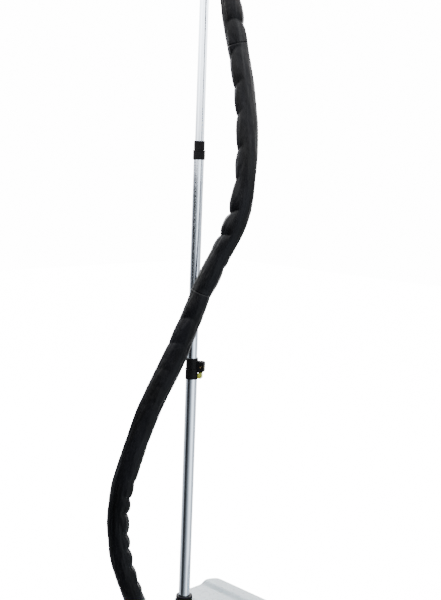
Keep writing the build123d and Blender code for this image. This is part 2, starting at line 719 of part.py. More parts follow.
def clamp_collar(z0, joint, z1, low_r, high_r, wall, turn):
    """Collar that sleeves over the larger tube and grips the smaller one, ear along local +X."""
    body = disc(low_r + wall, z0, joint + 2, 0, 0) + disc(high_r + GRIP_WALL, joint + 2, z1, 0, 0)
    body += disc(low_r + wall + 0.6, joint - 0.5, joint + 2, 0, 0)
    body -= ring(high_r + GRIP_WALL + 1, high_r + GRIP_WALL - 0.8, joint + 2, joint + 3.2)
    mid = pin_height(z0, z1)
    ear = block(0, EAR_REACH, -EAR_WIDTH / 2, EAR_WIDTH / 2, mid - 11, mid + 13)
    ear = fillet(ear.edges().filter_by(Axis.Y).sort_by(Axis.X)[-2:], 4)
    body += ear
    body -= disc(low_r + RUN_GAP, z0 - 1, joint, 0, 0)
    body -= disc(high_r + RUN_GAP, joint - 1, z1 + 1, 0, 0)
    slot_x = low_r + wall + 1
    slot = LEVER_WIDTH / 2 + FREE_GAP
    body -= block(slot_x, EAR_REACH + 1, -slot, slot, z0 - 20, z1 + 20)
    body -= block(high_r - 2, slot_x + 1, -0.6, 0.6, joint + 2, z1 + 1)
    body -= rod((PIN_REACH, -EAR_WIDTH, mid), (PIN_REACH, EAR_WIDTH, mid), PIN_R + RUN_GAP)
    return place_clamp(turn) * body


def pin_height(z0, z1):
    return (z0 + z1) / 2 + 4


def clamp_lever(z0, z1, low_r, turn):
    """Flip lever with a cam round the pin; closed, its tail hangs beside the larger tube."""
    mid = pin_height(z0, z1)
    half = LEVER_WIDTH / 2
    cam = rod((PIN_REACH, -half, mid), (PIN_REACH, half, mid), CAM_R)
    arm = block(low_r + 3.2, PIN_REACH + 2, -half, half, z0 + 4, mid)
    tail = block(low_r + 2.6, PIN_REACH + 2.5, -half - 2.2, half + 2.2, z0 + 2, mid - 13)
    tail = fillet(tail.edges().filter_by(Axis.Y), 2)
    body = cam + arm + tail
    body -= rod((PIN_REACH, -20, mid), (PIN_REACH, 20, mid), PIN_R + RUN_GAP)
    return place_clamp(turn) * body


def clamp_pin(z0, z1, turn):
    mid = pin_height(z0, z1)
    half = EAR_WIDTH / 2
    body = rod((PIN_REACH, -half, mid), (PIN_REACH, half, mid), PIN_R)
    return place_clamp(turn) * body


# Head holder and hanger


def head_holder():
    body = disc(14.5, HOLDER_BOTTOM, HOLDER_TOP, 0, POLE_Y)
    outer = FORK_GAP + FORK_ARM
    seat = HOLDER_TOP - FREE_GAP
    plate = block(-outer, outer, HEAD_Y - 12, HEAD_Y + outer, HOLDER_TOP - 11, seat)
    plate = fillet(plate.edges().filter_by(Axis.Z), 5)
    plate += block(-8, 8, HEAD_Y + FORK_GAP + 2, POLE_Y, HOLDER_TOP - 11, seat)
    plate -= disc(FORK_GAP, HOLDER_TOP - 12, HOLDER_TOP + 1, 0, HEAD_Y)
    plate -= block(-FORK_GAP, FORK_GAP, HEAD_Y - 40, HEAD_Y, HOLDER_TOP - 12, HOLDER_TOP + 1)
    brace = rod((0, POLE_Y - 10, HOLDER_BOTTOM + 8), (0, HEAD_Y + FORK_GAP + 6, HOLDER_TOP - 7), 5)
    body += plate + brace
    return body - disc(TOP_R + RUN_GAP, HOLDER_BOTTOM - 1, HOLDER_TOP + 1, 0, POLE_Y)


def hanger_hub():
    body = block(-HUB_HALF, HUB_HALF, POLE_Y - 14, POLE_Y + 14, HOLDER_TOP, HUB_TOP)
    body = fillet(body.edges().filter_by(Axis.Y).group_by(Axis.Z)[-1], 12)
    body = fillet(body.edges().filter_by(Axis.Z), 5)
    body -= disc(TOP_R + RUN_GAP, HOLDER_TOP - 1, HOLDER_TOP + 20 + RUN_GAP, 0, POLE_Y)
    slot = ARM_THICK / 2 + FREE_GAP
    for side in (-1, 1):
        x0, x1 = sorted((side * (ARM_PIN_X - 9), side * (HUB_HALF + 1)))
        body -= block(x0, x1, POLE_Y - slot, POLE_Y + slot, HOLDER_TOP - 1, HUB_TOP - 3)
        body -= arm_pin(side, 20, PIN_R + RUN_GAP)
    return body


def arm_pin(side, half, radius):
    x = side * ARM_PIN_X
    return rod((x, POLE_Y - half, ARM_PIN_Z), (x, POLE_Y + half, ARM_PIN_Z), radius)


def hanger_arm(side):
    """A shoulder-shaped flat arm that folds down beside the pole."""
    x, z = ARM_PIN_X, ARM_PIN_Z
    tip_x = HANGER_REACH
    tip_z = z - 34
    top = Bezier((x, z + 6), (x + 70, z + 8), (tip_x - 60, tip_z + 26), (tip_x, tip_z + 3))
    low = Bezier((tip_x, tip_z - 9), (tip_x - 60, tip_z + 12), (x + 70, z - 8), (x, z - 6))
    face = make_face(Curve() + [top, Line(top @ 1, low @ 0), low, Line(low @ 1, top @ 0)])
    body = Pos(0, POLE_Y + ARM_THICK / 2, 0) * (Plane.XZ * extrude(face, ARM_THICK))
    body += arm_pin(1, ARM_THICK / 2, 6)
    body -= arm_pin(1, 20, PIN_R + RUN_GAP)
    body -= rod((tip_x - 28, POLE_Y - 20, tip_z + 19), (tip_x - 28, POLE_Y + 20, tip_z + 19), 6)
    return mirror(body, about=Plane.YZ) if side < 0 else body


def arm_pins():
    return Compound([arm_pin(side, 14, PIN_R) for side in (-1, 1)])


# Steam head


def head_form(inset):
    """Handle and head in one outer form, shrunk by inset."""
    r = HANDLE_RADIUS - inset
    handle = Pos(0, HEAD_Y, 0) * loft([Pos(0, 0, HANDLE_BOTTOM + inset) * Ellipse(r, r - 1),
                                       Pos(0, 0, HANDLE_BOTTOM + 50) * Ellipse(r + 0.5, r + 0.5),
                                       Pos(0, 0, HEAD_BOTTOM + 12) * Ellipse(r - 1, r - 1)])
    half_w = HEAD_WIDTH / 2 - inset
    half_d = HEAD_DEPTH / 2 - inset
    box = block(-half_w, half_w, HEAD_Y - half_d, HEAD_Y + half_d, HEAD_BOTTOM + inset, HEAD_TOP - inset)
    box = fillet(box.edges().filter_by(Axis.Y), 20 - inset)
    box = fillet(box.edges().filter_by(lambda e: abs(e.center().Y - HEAD_Y) > half_d - 0.5), 8 - inset)
    return handle + box


def split_head(front):
    """One half of the hollow head and handle, parted along the plane of their axis."""
    low_y, high_y = (HEAD_Y - 200, HEAD_Y) if front else (HEAD_Y, HEAD_Y + 200)
    keep = block(-200, 200, low_y, high_y, HANDLE_BOTTOM - 10, HEAD_TOP + 10)
    shell = (head_form(0) - head_form(HEAD_WALL)) & keep
    return shell - disc(HEAD_PORT_R + RUN_GAP, HANDLE_BOTTOM - 1, HANDLE_BOTTOM + 6, 0, HEAD_Y)


def plate_outline(grow, y0, y1):
    half_w = PLATE_HALF_W + grow
    half_h = PLATE_HALF_H + grow
    body = block(-half_w, half_w, y0, y1, PLATE_Z - half_h, PLATE_Z + half_h)
    return fillet(body.edges().filter_by(Axis.Y), 14 + grow)


def head_front_shell():
    body = split_head(True)
    body -= plate_outline(RUN_GAP, HEAD_FRONT - 2, HEAD_FRONT + HEAD_WALL + 2)
    half_x = TRIGGER_HALF + FREE_GAP
    half_z = TRIGGER_LENGTH / 2 + FREE_GAP
    body -= block(-half_x, half_x, HEAD_Y - 30, HEAD_Y - 8, TRIGGER_Z - half_z, TRIGGER_Z + half_z)
    for x, z in head_screw_places():
        body += rod((x, HEAD_Y - 10, z), (x, HEAD_Y, z), 4) - rod((x, HEAD_Y - 9, z), (x, HEAD_Y + 1, z), 1.3)
    return body


def head_back_shell():
    body = split_head(False)
    for x, z in head_screw_places():
        body += rod((x, HEAD_Y, z), (x, HEAD_BACK - 1, z), 4)
        body -= rod((x, HEAD_Y - 1, z), (x, HEAD_BACK + 1, z), 1.3 + RUN_GAP)
        body -= rod((x, HEAD_BACK - 4, z), (x, HEAD_BACK + 1, z), 3)
    return body


def head_screw_places():
    return [(side * 36, z) for side in (-1, 1) for z in (HEAD_BOTTOM + 5.5, HEAD_TOP - 5.5)]


def head_screws():
    seat = HEAD_BACK - 4
    return Compound([cap_screw(x, seat, z, (0, -1, 0), 24, 1.25, 2.8, 2) for x, z in head_screw_places()])


def steam_plate():
    inside = HEAD_FRONT + HEAD_WALL
    body = plate_outline(0, HEAD_FRONT - 1, inside + 1)
    body = fillet(body.faces().sort_by(Axis.Y)[0].edges(), 0.8)
    body += plate_outline(2, inside + RUN_GAP, inside + 2)
    for row in range(3):
        for col in range(7):
            x = (col - 3) * 14
            z = PLATE_Z + (row - 1) * 18 + (7 if col % 2 else 0) - 3
            body -= rod((x, HEAD_FRONT - 2, z), (x, HEAD_FRONT + 8, z), 2)
    return body


def nozzle_pipe():
    """Steam way from the cuff up the handle into the head, behind the plate."""
    body = disc(5, HANDLE_BOTTOM + 8, HEAD_BOTTOM + 26, 0, HEAD_Y + 3)
    body += block(-30, 30, HEAD_Y - 3, HEAD_Y + 9, HEAD_BOTTOM + 24, HEAD_BOTTOM + 40)
    body -= block(-28, 28, HEAD_Y - 4, HEAD_Y + 7, HEAD_BOTTOM + 26, HEAD_BOTTOM + 38)
    return body - disc(3.6, HANDLE_BOTTOM + 7, HEAD_BOTTOM + 27, 0, HEAD_Y + 3)


def steam_trigger():
    skin = HEAD_Y - HANDLE_RADIUS
    half = TRIGGER_LENGTH / 2
    body = block(-TRIGGER_HALF, TRIGGER_HALF, skin - 3, skin + 5.5, TRIGGER_Z - half, TRIGGER_Z + half)
    body = fillet(body.faces().sort_by(Axis.Y)[0].edges(), 3)
    half -= 1
    return body + block(1 - TRIGGER_HALF, TRIGGER_HALF - 1, skin + 5, skin + 7, TRIGGER_Z - half, TRIGGER_Z + half)


def hose_cuff():
    """Swivel cuff at the foot of the handle; its mouth faces along the hose's first run."""
    top = HANDLE_BOTTOM - FREE_GAP
    mouth = Vector(*ROUTE[0])
    way = (mouth - Vector(*ROUTE[1])).normalized()
    body = cone_rod((0, HEAD_Y, mouth.Z - 6), (0, HEAD_Y, top), HOSE_DIAMETER / 2 + 2.5, HANDLE_RADIUS)
    body -= Plane(origin=mouth, z_dir=-way) * Cylinder(HOSE_DIAMETER, 20, align=BASE)
    body += disc(HEAD_PORT_R, top - 1, HANDLE_BOTTOM + 5, 0, HEAD_Y)
    body += disc(HEAD_PORT_R - 2, HANDLE_BOTTOM + 4, HANDLE_BOTTOM + 8, 0, HEAD_Y)
    return body - disc(4.5, mouth.Z - 9, HANDLE_BOTTOM + 9, 0, HEAD_Y)


# Hose


def middle_of(a, b):
    return tuple((p + q) / 2 for p, q in zip(a, b))


def hose_runs():
    """The route in three lengths, cut across the middle of a run."""
    high = middle_of(ROUTE[SPLIT_HIGH - 1], ROUTE[SPLIT_HIGH])
    low = middle_of(ROUTE[SPLIT_LOW - 1], ROUTE[SPLIT_LOW])
    return {
        "hose_top": ROUTE[:SPLIT_HIGH] + [high],
        "hose_middle": [high] + ROUTE[SPLIT_HIGH:SPLIT_LOW] + [low],
        "hose_lower": [low] + ROUTE[SPLIT_LOW:],
    }


def hoses():
    for name, points in hose_runs().items():
        path, radii = round_path(points)
        body = sweep(Plane(origin=path @ 0, z_dir=path % 0) * Circle(HOSE_DIAMETER / 2), path=path)
        expected = math.pi * HOSE_DIAMETER**2 / 4 * path.length
        print(name, "length", round(path.length), "radii", [round(r) for r in radii],
              "volume ratio", round(body.volume / expected, 4))
        write(name, body)


def clamps():
    """Both pole clamps: sleeve foot, grip foot, top, the two tube radii, sleeve wall, ear direction."""
    places = {
        "lower": (LOWER_TOP, LOWER_TOP + LOWER_SLEEVE, LOWER_CLAMP_TOP, LOWER_R, MIDDLE_R,
                  LOWER_SLEEVE_WALL, LOWER_EAR_TURN),
        "upper": (MIDDLE_TOP, MIDDLE_TOP + UPPER_SLEEVE, UPPER_CLAMP_TOP, MIDDLE_R, TOP_R,
                  UPPER_SLEEVE_WALL, UPPER_EAR_TURN),
    }
    for name, (z0, joint, z1, low_r, high_r, wall, turn) in places.items():
        write(f"{name}_clamp", clamp_collar(z0, joint, z1, low_r, high_r, wall, turn))
        write(f"{name}_lever", clamp_lever(z0, z1, low_r, turn))
        write(f"{name}_pin", clamp_pin(z0, z1, turn))


for node, shape in {
    "base_pan": base_pan(),
    "base_feet": base_feet(),
    "rear_axle": rear_axle(),
    "wheel_left": wheel(-1),
    "wheel_right": wheel(1),
    "housing_shell": housing_shell(),
    "pole_cover": pole_cover(),
    "outlet_elbow": outlet_elbow(),
    "hose_nut": hose_nut(),
    "base_screws": base_screws(),
    "mains_gland": mains_gland(),
    "boiler_block": boiler_block(),
    "heating_element": heating_element(),
    "boiler_gasket": boiler_gasket(),
    "boiler_lid": boiler_lid(),
    "thermostat": thermostat(),
    "boiler_screws": boiler_screws(),
    "steam_tube": steam_tube(),
    "feed_tube": feed_tube(),
    "valve_seat": valve_seat(),
    "tank_shell": tank_shell(),
    "tank_cap": tank_cap(),
    "tank_seal": tank_seal(),
    "valve_plunger": valve_plunger(),
    "valve_spring": valve_spring(),
    "dial_bezel": dial_bezel(),
    "power_knob": power_knob(),
    "rotary_switch": rotary_switch(),
    "indicator_lens": indicator_lens(),
    "pole_socket": pole_socket(),
    "lock_ring": lock_ring(),
    "pole_plug": pole_plug(),
    "lower_tube": lower_tube(),
    "middle_tube": middle_tube(),
    "top_tube": top_tube(),
    "middle_bush": guide_bush(MIDDLE_BOTTOM, MIDDLE_R, LOWER_R - TUBE_WALL),
    "top_bush": guide_bush(TOP_BOTTOM, TOP_R, MIDDLE_R - TUBE_WALL),
    "head_holder": head_holder(),
    "hanger_hub": hanger_hub(),
    "hanger_arm_left": hanger_arm(-1),
    "hanger_arm_right": hanger_arm(1),
    "arm_pins": arm_pins(),
    "head_front_shell": head_front_shell(),
    "head_back_shell": head_back_shell(),
    "head_screws": head_screws(),
    "steam_plate": steam_plate(),
    "nozzle_pipe": nozzle_pipe(),
    "steam_trigger": steam_trigger(),
    "hose_cuff": hose_cuff(),
}.items():
    write(node, shape)
clamps()
hoses()
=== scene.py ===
import json
import math

import bpy
import numpy as np
from mathutils import Matrix, Vector, noise


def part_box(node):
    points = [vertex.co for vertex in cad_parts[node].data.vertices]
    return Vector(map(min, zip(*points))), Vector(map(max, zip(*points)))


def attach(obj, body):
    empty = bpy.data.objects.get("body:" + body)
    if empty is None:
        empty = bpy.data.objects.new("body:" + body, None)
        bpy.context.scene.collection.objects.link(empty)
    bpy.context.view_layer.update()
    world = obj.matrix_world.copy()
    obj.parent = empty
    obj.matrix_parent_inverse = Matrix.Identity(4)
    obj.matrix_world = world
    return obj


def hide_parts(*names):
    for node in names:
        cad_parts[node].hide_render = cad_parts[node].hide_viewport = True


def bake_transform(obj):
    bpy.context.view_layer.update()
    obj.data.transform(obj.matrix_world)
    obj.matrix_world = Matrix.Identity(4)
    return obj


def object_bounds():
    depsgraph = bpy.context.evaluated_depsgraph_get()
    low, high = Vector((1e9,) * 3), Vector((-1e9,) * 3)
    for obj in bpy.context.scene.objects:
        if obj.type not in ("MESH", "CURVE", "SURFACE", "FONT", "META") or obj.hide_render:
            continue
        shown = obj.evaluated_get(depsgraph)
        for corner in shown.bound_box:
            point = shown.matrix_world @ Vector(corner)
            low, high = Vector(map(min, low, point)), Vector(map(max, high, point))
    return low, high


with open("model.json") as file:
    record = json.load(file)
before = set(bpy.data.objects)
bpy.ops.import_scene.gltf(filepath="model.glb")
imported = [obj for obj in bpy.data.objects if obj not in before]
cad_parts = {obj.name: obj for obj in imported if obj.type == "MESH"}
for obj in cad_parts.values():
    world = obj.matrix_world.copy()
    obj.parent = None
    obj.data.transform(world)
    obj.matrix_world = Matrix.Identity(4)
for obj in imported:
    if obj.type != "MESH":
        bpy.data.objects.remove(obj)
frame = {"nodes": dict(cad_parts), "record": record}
cadNodes = frame["nodes"]
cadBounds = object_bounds()
print("frame:", len(cadNodes), "nodes")


def boxOf(node):
    low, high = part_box(node)
    return low, high, (low + high) / 2


poleCentre = boxOf("lower_tube")[2]
poleY = poleCentre.y


# Shader helpers


def newMaterial(name, **values):
    material = bpy.data.materials.new(name)
    material.use_nodes = True
    shader = material.node_tree.nodes["Principled BSDF"]
    for socket, value in values.items():
        shader.inputs[socket.replace("_", " ")].default_value = value
    return material


def addNode(material, kind, links=None, **settings):
    node = material.node_tree.nodes.new(kind)
    for name, value in settings.items():
        if hasattr(node, name):
            setattr(node, name, value)
        else:
            node.inputs[name.replace("_", " ")].default_value = value
    for name, source in (links or {}).items():
        material.node_tree.links.new(source, node.inputs[name])
    return node


def shaderLink(material, socket, source):
    material.node_tree.links.new(source, material.node_tree.nodes["Principled BSDF"].inputs[socket])


def surfacePlace(material, stretch=(1, 1, 1), fromUv=False):
    coordinate = addNode(material, "ShaderNodeTexCoord")
    source = coordinate.outputs["UV" if fromUv else "Object"]
    mapping = addNode(material, "ShaderNodeMapping", {"Vector": source})
    mapping.inputs["Scale"].default_value = stretch
    return mapping.outputs["Vector"]


def noiseField(material, place, scale, detail=4.0, roughness=0.55):
    return addNode(material, "ShaderNodeTexNoise", {"Vector": place}, Scale=scale, Detail=detail,
                   Roughness=roughness).outputs["Fac"]


def ramp(material, source, stops):
    node = addNode(material, "ShaderNodeValToRGB", {"Fac": source})
    elements = node.color_ramp.elements
    while len(elements) < len(stops):
        elements.new(0.5)
    for element, (place, tone) in zip(elements, stops):
        element.position = place
        element.color = (*tone, 1)
    return node.outputs["Color"]


def mapTo(material, source, fromLow, fromHigh, toLow, toHigh):
    node = addNode(material, "ShaderNodeMapRange", {"Value": source})
    limits = {"From Min": fromLow, "From Max": fromHigh, "To Min": toLow, "To Max": toHigh}
    for name, value in limits.items():
        node.inputs[name].default_value = value
    return node.outputs["Result"]


def blendTone(material, amount, first, second, kind="MIX"):
    node = addNode(material, "ShaderNodeMix", data_type="RGBA", blend_type=kind)
    sockets = {"Factor": node.inputs[0], "A": node.inputs[6], "B": node.inputs[7]}
    for name, value in (("Factor", amount), ("A", first), ("B", second)):
        if hasattr(value, "links"):
            material.node_tree.links.new(value, sockets[name])
        elif name == "Factor":
            sockets[name].default_value = value
        else:
            sockets[name].default_value = (*value, 1)
    return node.outputs[2]


def softEdge(material, radius):
    # rounds the corners for the light only
    bevel = addNode(material, "ShaderNodeBevel", samples=4, Radius=radius)
    return bevel.outputs["Normal"]


cornerShare = {"none": 0.995, "full": 0.86}  # how far the rounded direction leans from the true one


def edgeShare(material, rounded):
    # how near a corner the surface is, from 0 to 1
    geometry = addNode(material, "ShaderNodeNewGeometry")
    dot = addNode(material, "ShaderNodeVectorMath", operation="DOT_PRODUCT")
    material.node_tree.links.new(rounded, dot.inputs[0])
    material.node_tree.links.new(geometry.outputs["Normal"], dot.inputs[1])
    return mapTo(material, dot.outputs["Value"], cornerShare["none"], cornerShare["full"], 0, 1)


def bump(material, height, strength, distance, normal=None):
    links = {"Height": height}
    if normal is not None:
        links["Normal"] = normal
    return addNode(material, "ShaderNodeBump", links, Strength=strength, Distance=distance).outputs["Normal"]


def scaled(colour, factor):
    return tuple(min(1.0, max(0.0, c * factor)) for c in colour)


# One moulded or rubber finish: cloudy tone, grain, worn corners


mouldedBase = {"scatter": 0.004, "scuffScale": 90.0, "rippleScale": 38.0, "rippleDepth": 0.002,
               "grainDepth": 0.0003}


def mouldedFinish(name, look):
    base = mouldedBase
    material = newMaterial(name, Metallic=0.0, IOR=look.get("ior", 1.46),
                           Specular_IOR_Level=look.get("specular", 0.5), Coat_Weight=look.get("coat", 0.0),
                           Coat_Roughness=look.get("coatRoughness", 0.2),
                           Subsurface_Weight=look.get("depth", 0.0), Subsurface_Scale=base["scatter"],
                           Transmission_Weight=look.get("clear", 0.0), Sheen_Weight=look.get("sheen", 0.0))
    place = surfacePlace(material)
    cloud = noiseField(material, place, look["cloudScale"], 5.0)
    tone = ramp(material, cloud, [(0.3, scaled(look["colour"], 1 - look["vary"])),
                                  (0.7, scaled(look["colour"], 1 + look["vary"]))])
    grain = noiseField(material, place, look["grainScale"], 3.0, 0.6)
    speck = mapTo(material, grain, 0.35, 0.65, 1 - look["speck"], 1 + look["speck"] * 0.4)
    tone = blendTone(material, 1.0, tone, speck, "MULTIPLY")
    rounded = softEdge(material, look["corner"])
    worn = edgeShare(material, rounded)
    scuff = noiseField(material, place, base["scuffScale"], 6.0, 0.7)
    wornHere = addNode(material, "ShaderNodeMath", operation="MULTIPLY")
    material.node_tree.links.new(worn, wornHere.inputs[0])
    material.node_tree.links.new(mapTo(material, scuff, 0.45, 0.62, 0, look["wear"]), wornHere.inputs[1])
    tone = blendTone(material, wornHere.outputs[0], tone, look["wornColour"])
    shaderLink(material, "Base Color", tone)
    low, high = look["roughness"]
    shaderLink(material, "Roughness", mapTo(material, scuff, 0.3, 0.7, low, high))
    wave = noiseField(material, place, base["rippleScale"], 2.0)
    ripple = bump(material, wave, look.get("sink", 0.05), base["rippleDepth"], rounded)
    shaderLink(material, "Normal", bump(material, grain, look["grain"], base["grainDepth"], ripple))
    return material


mouldedLooks = {
    "paleShell": {"slot": "pale_shell", "colour": (0.56, 0.62, 0.66), "vary": 0.04, "cloudScale": 9,
                  "grainScale": 1500, "grain": 0.06, "speck": 0.03, "corner": 0.0012, "wear": 0.25,
                  "wornColour": (0.80, 0.83, 0.85), "roughness": (0.22, 0.34), "coat": 0.25, "sink": 0.06},
    "panTexture": {"slot": "pan_plastic", "colour": (0.13, 0.14, 0.15), "vary": 0.10, "cloudScale": 22,
                   "grainScale": 900, "grain": 0.5, "speck": 0.18, "corner": 0.001, "wear": 0.5,
                   "wornColour": (0.24, 0.25, 0.26), "roughness": (0.5, 0.68)},
    "satinBlack": {"slot": "black_plastic", "colour": (0.006, 0.006, 0.007), "vary": 0.2, "cloudScale": 40,
                   "grainScale": 1700, "grain": 0.22, "speck": 0.25, "corner": 0.0007, "wear": 0.45,
                   "wornColour": (0.03, 0.03, 0.033), "roughness": (0.42, 0.56), "specular": 0.06},
    "warmGrey": {"slot": "grey_plastic", "colour": (0.30, 0.30, 0.275), "vary": 0.10, "cloudScale": 30,
                 "grainScale": 1300, "grain": 0.12, "speck": 0.08, "corner": 0.001, "wear": 0.3,
                 "wornColour": (0.46, 0.46, 0.44), "roughness": (0.26, 0.42), "coat": 0.15},
    "limeMoulding": {"slot": "lime_plastic", "colour": (0.42, 0.48, 0.07), "vary": 0.07, "cloudScale": 60,
                     "grainScale": 1600, "grain": 0.10, "speck": 0.06, "corner": 0.0006, "wear": 0.4,
                     "wornColour": (0.66, 0.70, 0.28), "roughness": (0.24, 0.38), "depth": 0.08},
    "whiteMoulding": {"slot": "white_plastic", "colour": (0.70, 0.71, 0.72), "vary": 0.03, "cloudScale": 12,
                      "grainScale": 1500, "grain": 0.07, "speck": 0.03, "corner": 0.001, "wear": 0.3,
                      "wornColour": (0.60, 0.60, 0.58), "roughness": (0.2, 0.32), "coat": 0.3},
    "tyreRubber": {"slot": "rubber_black", "colour": (0.018, 0.018, 0.018), "vary": 0.25, "cloudScale": 45,
                   "grainScale": 1100, "grain": 0.4, "speck": 0.3, "corner": 0.0008, "wear": 0.7,
                   "wornColour": (0.08, 0.078, 0.074), "roughness": (0.62, 0.8), "sheen": 0.1},
    "siliconeTube": {"slot": "silicone", "colour": (0.60, 0.58, 0.53), "vary": 0.06, "cloudScale": 55,
                     "grainScale": 1200, "grain": 0.08, "speck": 0.05, "corner": 0.0005, "wear": 0.2,
                     "wornColour": (0.7, 0.68, 0.62), "roughness": (0.35, 0.5), "depth": 0.25, "clear": 0.1},
    "indicatorLens": {"slot": "lens", "colour": (0.70, 0.10, 0.03), "vary": 0.12, "cloudScale": 160,
                      "grainScale": 1500, "grain": 0.04, "speck": 0.04, "corner": 0.0005, "wear": 0.2,
                      "wornColour": (0.8, 0.3, 0.2), "roughness": (0.08, 0.16), "clear": 0.45, "coat": 0.5},
    "frostedTank": {"slot": "tank_plastic", "colour": (0.42, 0.52, 0.59), "vary": 0.14, "cloudScale": 14,
                    "grainScale": 1400, "grain": 0.03, "speck": 0.02, "corner": 0.0016, "wear": 0.25,
                    "wornColour": (0.86, 0.90, 0.93), "roughness": (0.22, 0.38), "depth": 0.25, "clear": 0.06,
                    "coat": 0.35, "sink": 0.07},
}
finishes = {look["slot"]: mouldedFinish(name, look) for name, look in mouldedLooks.items()}
print("moulded finishes:", len(mouldedLooks))


# One metal finish: drawn, brushed, turned or cast


metalBase = {"cloudScale": 26.0, "lineDepth": 0.0002}


def metalFinish(name, look):
    material = newMaterial(name, Metallic=1.0, Anisotropic=look.get("anisotropic", 0.0))
    lines = surfacePlace(material, look["stretch"])
    place = surfacePlace(material)
    streak = noiseField(material, lines, look["lineScale"], 5.0, 0.6)
    cloud = noiseField(material, place, metalBase["cloudScale"], 4.0)
    tone = ramp(material, streak, [(0.3, scaled(look["colour"], 1 - look["vary"])),
                                   (0.7, scaled(look["colour"], 1 + look["vary"]))])
    dull = mapTo(material, cloud, 0.35, 0.7, 1 - look["dull"], 1.0)
    shaderLink(material, "Base Color", blendTone(material, 1.0, tone, dull, "MULTIPLY"))
    low, high = look["roughness"]
    mixed = addNode(material, "ShaderNodeMath", operation="ADD")
    material.node_tree.links.new(mapTo(material, streak, 0.3, 0.7, low, high), mixed.inputs[0])
    material.node_tree.links.new(mapTo(material, cloud, 0.4, 0.75, 0, look["smear"]), mixed.inputs[1])
    shaderLink(material, "Roughness", mixed.outputs[0])
    rounded = softEdge(material, look["corner"])
    shaderLink(material, "Normal", bump(material, streak, look["grain"], metalBase["lineDepth"], rounded))
    return material


metalLooks = {
    "drawnAluminium": {"slot": "pole_aluminium", "colour": (0.72, 0.78, 0.87), "vary": 0.03,
                       "stretch": (1, 1, 0.012), "lineScale": 700, "dull": 0.04, "roughness": (0.13, 0.21),
                       "smear": 0.05, "grain": 0.02, "corner": 0.0003},
    "brushedSteel": {"slot": "steel", "colour": (0.58, 0.58, 0.59), "vary": 0.08, "stretch": (0.05, 1, 1),
                     "lineScale": 900, "dull": 0.12, "roughness": (0.2, 0.34), "smear": 0.08, "grain": 0.12,
                     "corner": 0.0003},
    "turnedBrass": {"slot": "brass", "colour": (0.46, 0.31, 0.14), "vary": 0.08, "stretch": (1, 1, 0.2),
                    "lineScale": 800, "dull": 0.25, "roughness": (0.2, 0.34), "smear": 0.12, "grain": 0.1,
                    "corner": 0.0003},
    "castAlloy": {"slot": "cast_alloy", "colour": (0.50, 0.50, 0.51), "vary": 0.1, "stretch": (1, 1, 1),
                  "lineScale": 420, "dull": 0.2, "roughness": (0.4, 0.55), "smear": 0.1, "grain": 0.45,
                  "corner": 0.0008},
}
finishes.update({look["slot"]: metalFinish(name, look) for name, look in metalLooks.items()})
print("metal finishes:", len(metalLooks))


# Woven nylon of the hose sleeve: u goes round it and v along it, both in metres


# light is the tone of the painted sheen on the raised fold crests
clothLook = {"thread": 0.0011, "colour": (0.0016, 0.0016, 0.0021), "light": (0.006, 0.0064, 0.009),
             "sheen": 0.02, "roughness": (0.36, 0.48), "weaveDepth": 0.12, "creaseDepth": 0.4,
             "creaseScale": 48.0, "creaseStretch": (1, 0.16, 1), "fuzzScale": 240.0, "specular": 0.07,
             "bandsPerThread": 0.31}


def sleeveCloth():
    look = clothLook
    material = newMaterial("sleeveNylon", Sheen_Weight=look["sheen"], Sheen_Roughness=0.4, IOR=1.5,
                           Specular_IOR_Level=look["specular"])
    place = surfacePlace(material, fromUv=True)
    weave = []
    for direction in ("X", "Y"):
        band = addNode(material, "ShaderNodeTexWave", {"Vector": place}, wave_type="BANDS", Distortion=0.5,
                       bands_direction=direction, wave_profile="SIN",
                       Scale=look["bandsPerThread"] / look["thread"])
        weave.append(band.outputs["Fac"])
    crossing = addNode(material, "ShaderNodeMath", operation="MULTIPLY")
    material.node_tree.links.new(weave[0], crossing.inputs[0])
    material.node_tree.links.new(weave[1], crossing.inputs[1])
    along = surfacePlace(material, look["creaseStretch"], fromUv=True)
    crease = noiseField(material, along, look["creaseScale"], 4.0, 0.55)
    fuzz = noiseField(material, surfacePlace(material), look["fuzzScale"], 4.0)
    # the tone follows the fold relief: near black in the hollows and a lighter bluish painted sheen on the
    # raised crests
    tone = ramp(material, crease, [(0.36, look["colour"]), (0.72, look["light"])])
    tone = blendTone(material, 1.0, tone, mapTo(material, crossing.outputs[0], 0, 1, 0.72, 1.15), "MULTIPLY")
    shaderLink(material, "Base Color", tone)
    low, high = look["roughness"]
    shaderLink(material, "Roughness", mapTo(material, fuzz, 0.3, 0.7, low, high))
    folded = bump(material, crease, look["creaseDepth"], 0.003)
    shaderLink(material, "Normal", bump(material, crossing.outputs[0], look["weaveDepth"], 0.0004, folded))
    return material


finishes["sleeve"] = sleeveCloth()
threadFinish = mouldedFinish("stitchThread", {
    "colour": (0.035, 0.035, 0.04), "vary": 0.2, "cloudScale": 300, "grainScale": 2600, "grain": 0.5,
    "speck": 0.3, "corner": 0.0002, "wear": 0.0, "wornColour": (0.1, 0.1, 0.1), "roughness": (0.6, 0.75)})
markFinish = mouldedFinish("printedMark", {
    "colour": (0.62, 0.63, 0.64), "vary": 0.05, "cloudScale": 200, "grainScale": 2200, "grain": 0.12,
    "speck": 0.06, "corner": 0.0002, "wear": 0.3, "wornColour": (0.4, 0.4, 0.4), "roughness": (0.4, 0.5)})
print("sleeve cloth and small finishes")


def slotOf(node):
    return next(part["material_slot"] for part in frame["record"]["subparts"] if part["node"] == node)


for cadName, cadObject in cadNodes.items():
    cadObject.data.materials.clear()
    cadObject.data.materials.append(finishes[slotOf(cadName)])
print("every node has its finish")


# Hose sleeve: one route from the head's cuff down to the outlet, in metres


